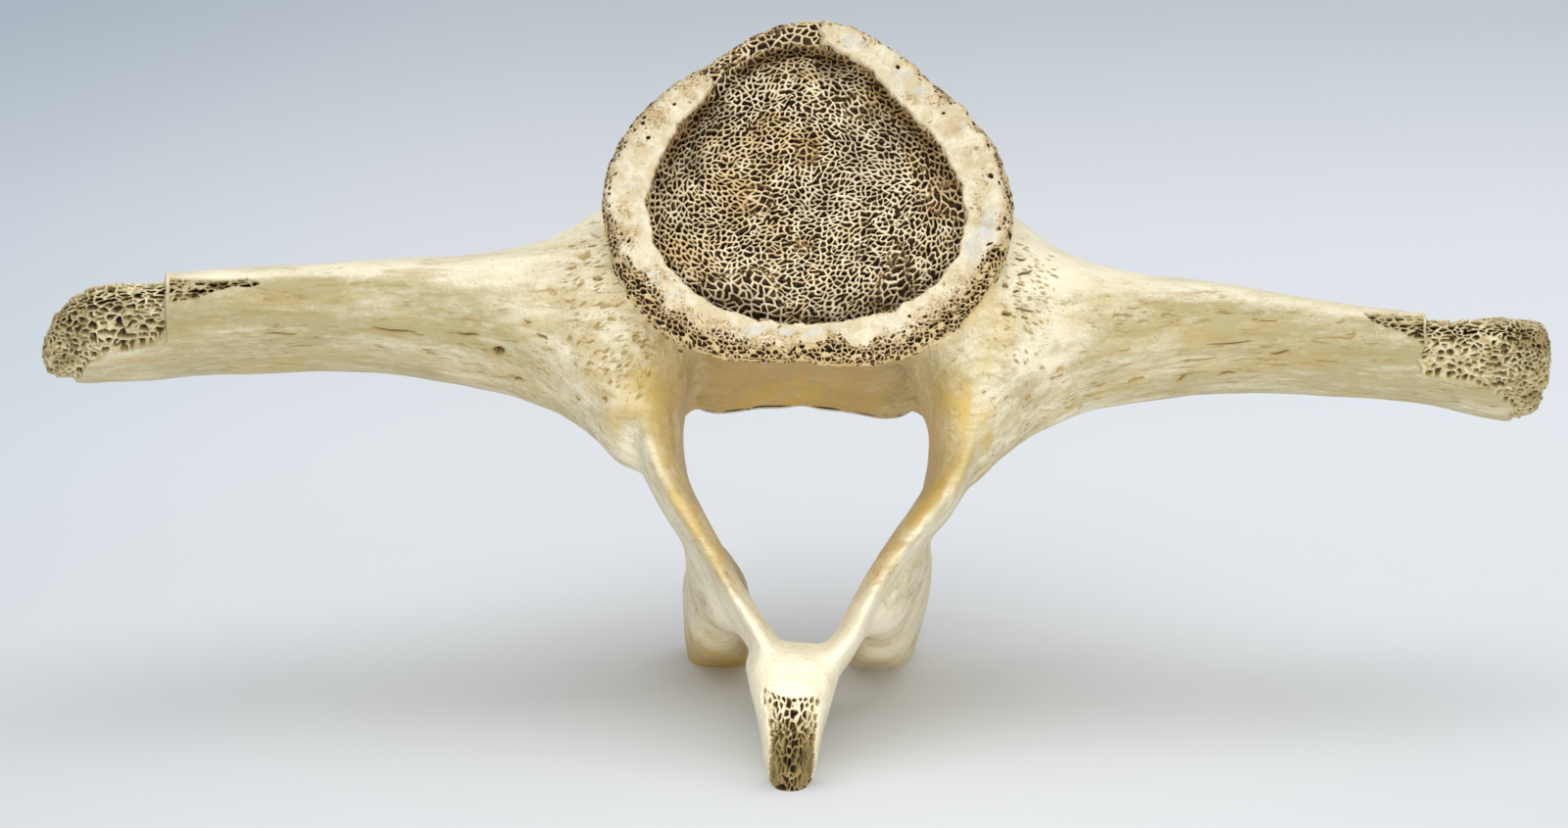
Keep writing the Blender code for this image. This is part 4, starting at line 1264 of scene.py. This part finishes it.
class Nodes:
    """A material's node tree, written a little more shortly."""

    def __init__(self, name):
        self.material = bpy.data.materials.new(name)
        self.material.use_nodes = True
        self.tree = self.material.node_tree
        self.shader = self.tree.nodes["Principled BSDF"]
        self.place = self.node("TexCoord").outputs["Object"]

    def node(self, kind, inputs=(), **settings):
        """A new node with some of its inputs, by name or number, and its settings."""
        made = self.tree.nodes.new("ShaderNode" + kind)
        for name, value in settings.items():
            setattr(made, name, value)
        for key, value in inputs:
            self.link(value, made.inputs[key])
        return made

    def link(self, value, socket):
        value = value.socket if isinstance(value, Value) else value
        if isinstance(value, bpy.types.NodeSocket):
            self.tree.links.new(value, socket)
        elif socket.type == "RGBA":
            socket.default_value = (*value, 1)
        else:
            socket.default_value = value

    def parts(self, colour):
        split = self.node("SeparateColor", (("Color", colour),))
        return [Value(self, output) for output in split.outputs]

    def attribute(self, name):
        """The four numbers that each point of the mesh carries under that name."""
        node = self.node("Attribute", attribute_name=name)
        return self.parts(node.outputs["Color"]) + [Value(self, node.outputs["Alpha"])]

    def math(self, operation, *values, clamp=False):
        node = self.node("Math", enumerate(values), operation=operation, use_clamp=clamp)
        return Value(self, node.outputs[0])

    def step(self, value, low, high, lowest=0.0, highest=1.0):
        """A soft rise from low to high, where low may be the larger."""
        if low > high:
            low, high, lowest, highest = high, low, highest, lowest
        node = self.node("MapRange", (
            ("Value", value), ("From Min", low), ("From Max", high), ("To Min", lowest),
            ("To Max", highest)), interpolation_type="SMOOTHSTEP")
        return Value(self, node.outputs["Result"])

    def noise(self, size, detail=3.0, rough=0.5, twist=0.0, scale=None):
        """Noise with features of about that size in mm."""
        place = self.place
        if scale:
            place = self.node("Mapping", (("Vector", place), ("Scale", scale))).outputs["Vector"]
        node = self.node("TexNoise", (
            ("Vector", place), ("Scale", 1000.0 / size), ("Detail", detail),
            ("Roughness", rough), ("Distortion", twist)))
        return Value(self, node.outputs["Fac"])

    def mix(self, amount, a, b, blend="MIX"):
        node = self.node("Mix", (("Factor", amount), (6, a), (7, b)), data_type="RGBA",
                         blend_type=blend)
        return node.outputs[2]

    def coats(self, colour, *coats):
        """The colour under more coats, each an amount and a colour."""
        for amount, tint in coats:
            colour = self.mix(amount, colour, tint)
        return colour

    def down_pore_with_shade(self, colour, pore, shallow, deep, deepest):
        """The colour down a pore: from the surface's own, through browns, to a near-black painted
        shade at the deepest.
        """
        return self.coats(
            colour, (self.step(pore, 0.03, 0.34) * 0.92, shallow),
            (self.step(pore, 0.28, 0.66), deep), (self.step(pore, 0.60, 0.98), deepest))

    def bump(self, height, distance, strength, under=None):
        inputs = [("Height", height), ("Distance", distance * MM), ("Strength", strength)]
        if under is not None:
            inputs.append(("Normal", under))
        return self.node("Bump", inputs).outputs["Normal"]

    def pinholes(self, size, radius, rate):
        """Round holes: 1 in a hole. rate is the share of the cells that have one."""
        cells = self.node("TexVoronoi", (("Vector", self.place), ("Scale", 1000.0 / size),
                                         ("Randomness", 1.0)))
        there = self.math("LESS_THAN", self.parts(cells.outputs["Color"])[0], rate)
        return self.step(cells.outputs["Distance"], radius, radius * 0.4) * there

    def finish(self, colour, rough, normal=None, specular=0.35):
        for name, value in (("Base Color", colour), ("Roughness", rough), ("Normal", normal),
                            ("Specular IOR Level", specular)):
            if value is not None:
                self.link(value, self.shader.inputs[name])
        return self.material


def cortex_material():
    n = Nodes("cortical_bone_weathered")
    pore, spongy, stain, pins = n.attribute("marks")
    # the bleach tone holds both bleaching and a painted top light on upward faces
    bleach_and_top_light, gold, drum, _ = n.attribute("tones")
    aged = n.step(bleach_and_top_light, 0.55, 0.95, 1.0, 0.30)
    uneven = (n.step(n.noise(9, 4, 0.6, 0.2, (0.30, 1, 1)), 0.32, 0.70, -0.26, 0.30)
              + n.step(n.noise(1.8, 3, 0.65, 0.2, (0.5, 1, 1)), 0.35, 0.68, -0.13, 0.13))
    colour = n.mix(n.math("ADD", bleach_and_top_light, uneven * aged, clamp=True),
                   (0.49, 0.42, 0.22), (0.94, 0.86, 0.65))
    honey = n.step(n.noise(13, 4, 0.6, 0.4, (0.35, 1, 1)), 0.48, 0.66) * 0.50
    outwards, round_drum = (n.noise(2.6, 4, 0.65, 0.3, scale)
                            for scale in ((0.12, 1, 1), (1, 0.12, 1)))
    grain = n.math("MULTIPLY_ADD", drum, round_drum - outwards, outwards)
    streak = n.step(grain, 0.47, 0.68) * 0.50
    speckle = n.step(n.noise(0.75, 3, 0.7), 0.50, 0.68) * 0.36
    clusters = n.step(n.noise(14, 3, 0.5, 0.3, (0.35, 1, 1)), 0.44, 0.60)
    flecks = n.step(n.noise(1.4, 3, 0.6, 0.2, (0.20, 1, 1)), 0.56, 0.65) * clusters
    chalk = n.step(n.noise(4.5, 4, 0.65, 0.0, (0.4, 1, 1)), 0.54, 0.74) * 0.34
    golden = gold * n.step(n.noise(4.5, 4, 0.65, 0.3, (1, 0.6, 0.4)), 0.34, 0.62, 0.35, 1.0)
    brown = stain * n.step(n.noise(3.0, 4, 0.6, 0.3), 0.25, 0.62, 0.40, 1.0)
    struts = n.coats((0.95, 0.85, 0.57),
                     (n.step(n.noise(1.6, 3), 0.42, 0.68), (0.54, 0.40, 0.165)),
                     (stain * 0.80, (0.30, 0.23, 0.08)))
    small = n.pinholes(0.75, 0.20, pins * 0.35) * 0.6
    holes = n.math("MAXIMUM", n.pinholes(1.5, 0.16, pins * 0.55), small) * spongy.opposite()
    colour = n.coats(
        colour,
        (honey * aged, (0.56, 0.40, 0.13)),
        (streak * aged, (0.42, 0.30, 0.105)),
        (speckle * aged, (0.40, 0.30, 0.13)),
        (flecks * aged * 0.80, (0.33, 0.21, 0.06)),
        (chalk, (0.84, 0.81, 0.66)),
        (golden * 0.92, (0.70, 0.47, 0.115)),
        (brown * 0.65, (0.50, 0.33, 0.11)),
        (spongy * 0.85, struts),
        (holes * 0.55, (0.33, 0.21, 0.07)))
    # pores: brown walls, and a painted shade deep down
    shallow = n.mix(spongy, (0.47, 0.34, 0.125), (0.27, 0.19, 0.065))
    deep = n.mix(spongy, (0.185, 0.12, 0.042), (0.058, 0.039, 0.012))
    colour = n.down_pore_with_shade(colour, pore, shallow, deep, (0.024, 0.015, 0.006))
    rough = n.noise(9, 3) * 0.22 + 0.40 + spongy * 0.2
    normal = n.bump(n.noise(0.9, 3, 0.6), 0.10, 0.6)
    normal = n.bump(grain, 0.22, 0.6, normal)
    normal = n.bump(holes.opposite(), 0.25, 0.8, normal)
    return n.finish(colour, rough, normal)


def spongy_material():
    n = Nodes("spongy_bone")
    pore, grime_and_shade, warm, rim = n.attribute("marks")
    # a dark coat of dirt and painted shade
    dust_and_shade = grime_and_shade * n.step(n.noise(3.0, 3), 0.25, 0.6, 0.3, 1.0)
    colour = n.coats(
        (0.96, 0.86, 0.63),
        (n.step(n.noise(1.6, 3), 0.38, 0.68), (0.78, 0.61, 0.36)),
        (warm * n.step(n.noise(6, 3), 0.3, 0.6, 0.2, 0.85), (0.66, 0.46, 0.20)),
        (rim * 0.8, (0.62, 0.47, 0.23)),
        (dust_and_shade * 0.70, (0.24, 0.205, 0.14)))
    # pores: brown walls, and a painted shade deep down
    colour = n.down_pore_with_shade(colour, pore, (0.31, 0.185, 0.07), (0.070, 0.040, 0.015),
                         (0.010, 0.006, 0.003))
    return n.finish(colour, 0.62, n.bump(n.noise(0.7, 2), 0.05, 0.5), 0.25)


def plate_material():
    n = Nodes("epiphysis_bone")
    pore, grey_patch_and_dip_shade, brown, pins = n.attribute("marks")
    holes = n.pinholes(0.9, 0.22, pins * 0.35)
    colour = n.coats(
        (0.69, 0.58, 0.37),
        (n.step(n.noise(5, 4, 0.6), 0.38, 0.62), (0.85, 0.76, 0.57)),
        # grey patches, and on the tail-side plate a painted shade in the dips
        (grey_patch_and_dip_shade * n.step(n.noise(2.5, 3), 0.3, 0.6, 0.25, 0.85), (0.62, 0.64, 0.60)),
        (n.step(n.noise(0.8, 3, 0.7), 0.48, 0.66) * 0.38, (0.58, 0.43, 0.20)),
        (brown * n.step(n.noise(1.3, 4, 0.7), 0.36, 0.62, 0.10, 0.95) * 0.75, (0.47, 0.30, 0.11)),
        (holes * 0.55, (0.30, 0.19, 0.07)))
    # pores: brown walls, and a painted shade deep down
    colour = n.down_pore_with_shade(colour, pore, (0.40, 0.26, 0.09), (0.11, 0.06, 0.022),
                         (0.026, 0.014, 0.007))
    normal = n.bump(n.noise(0.8, 3, 0.6), 0.10, 0.7)
    normal = n.bump(holes.opposite(), 0.2, 0.7, normal)
    return n.finish(colour, n.noise(5, 3) * 0.2 + 0.42, normal)


def falloff_table_material():
    """A pale table top, painted a little darker close by and to the left as a painted light
    falloff.
    """
    n = Nodes("table")
    split = n.node("SeparateXYZ", ((0, n.place),))

    def ramp(axis, stops):
        """A colour that follows one axis from stop to stop, each a place and a colour."""
        low, high = stops[0][0], stops[-1][0]
        spread = n.node("MapRange", (
            ("Value", split.outputs[axis]), ("From Min", low), ("From Max", high)))
        node = n.node("ValToRGB", (("Fac", spread.outputs["Result"]),))
        node.color_ramp.interpolation = "EASE"
        elements = node.color_ramp.elements
        while len(elements) < len(stops):
            elements.new(0.5)
        for element, (at, colour) in zip(elements, stops):
            element.position = (at - low) / (high - low)
            element.color = (*colour, 1)
        return node.outputs["Color"]

    colour = n.mix(1.0, ramp("Y", TABLE_BACK_FALLOFF), ramp("X", TABLE_ACROSS_FALLOFF), "MULTIPLY")
    return n.finish(colour, 0.8, specular=0.1)


# ---- stage, lights and camera -----------------------------

# The table's colour with its painted light falloff, from its front to its back and from left
# to right: metres and a colour, and the two are multiplied.
TABLE_BACK_FALLOFF = (
    (-0.10, (0.77, 0.79, 0.82)),
    (0.05, (0.82, 0.84, 0.87)),
    (0.30, (0.87, 0.90, 0.94)),
    (0.62, (0.92, 0.95, 0.99)),
    (1.15, (0.88, 0.93, 0.99)),
)
TABLE_ACROSS_FALLOFF = (
    (-0.45, (0.79, 0.84, 0.89)),
    (-0.10, (0.96, 0.96, 0.96)),
    (0.45, (1.0, 1.0, 1.0)),
)
LIGHTS = (
    # name, place, aim, size, power, colour
    ("overhead", (0.05, -0.04, 1.15), (0.0, 0.05, 0.0), (1.8, 1.0), 10.5, (1.0, 0.985, 0.96)),
    ("front_left", (-0.60, -1.20, 0.22), (0.0, 0.05, 0.04), (0.9, 0.3), 1.0, (1.0, 0.98, 0.95)),
    ("front_right", (0.70, -1.15, 0.22), (0.0, 0.05, 0.04), (0.9, 0.3), 1.4, (1.0, 0.98, 0.96)),
    ("front_low", (0.02, -0.36, 0.05), (0.0, 0.08, 0.06), (0.30, 0.08), 0.58, (1.0, 0.985, 0.96)),
)


def stage():
    """A pale table that runs on far behind, a wide soft light above and three weak fills."""
    bm = bmesh.new()
    bmesh.ops.create_grid(bm, x_segments=24, y_segments=24, size=6.0)
    mesh = bpy.data.meshes.new("table_top")
    bm.to_mesh(mesh)
    bm.free()
    table = shown("table_top", mesh, falloff_table_material())

    scene = bpy.context.scene
    scene.world = bpy.data.worlds.new("room")
    scene.world.use_nodes = True
    room = scene.world.node_tree.nodes["Background"]
    room.inputs["Color"].default_value = (0.90, 0.95, 1.0, 1)
    room.inputs["Strength"].default_value = 0.45

    for name, place, aim, size, power, colour in LIGHTS:
        light = bpy.data.lights.new(name, "AREA")
        light.shape = "RECTANGLE"
        light.size, light.size_y = size
        light.energy = power
        light.color = colour
        obj = shown(name, light)
        obj.location = place
        obj.rotation_euler = (Vector(aim) - Vector(place)).to_track_quat("-Z", "Y").to_euler()

    camera = bpy.data.cameras.new("camera")
    camera.sensor_width = 36.0
    camera.sensor_fit = "HORIZONTAL"
    camera.lens = FOCAL * camera.sensor_width / PICTURE[0]
    camera.clip_start, camera.clip_end = 0.05, 50.0
    obj = shown("camera", camera)
    turned = Matrix((SIDEWAYS, UPWARD, -FORWARD)).transposed()
    obj.matrix_world = Matrix.Translation(Vector(EYE * MM)) @ turned.to_4x4()
    bpy.context.scene.camera = obj
    scene.view_settings.view_transform = "Standard"
    scene.view_settings.look = "None"


stage()
cortical(cortex_material())
spongy_end(spongy_material())
plate_bone = plate_material()
tail_plate(plate_bone)
head_plate(plate_bone)
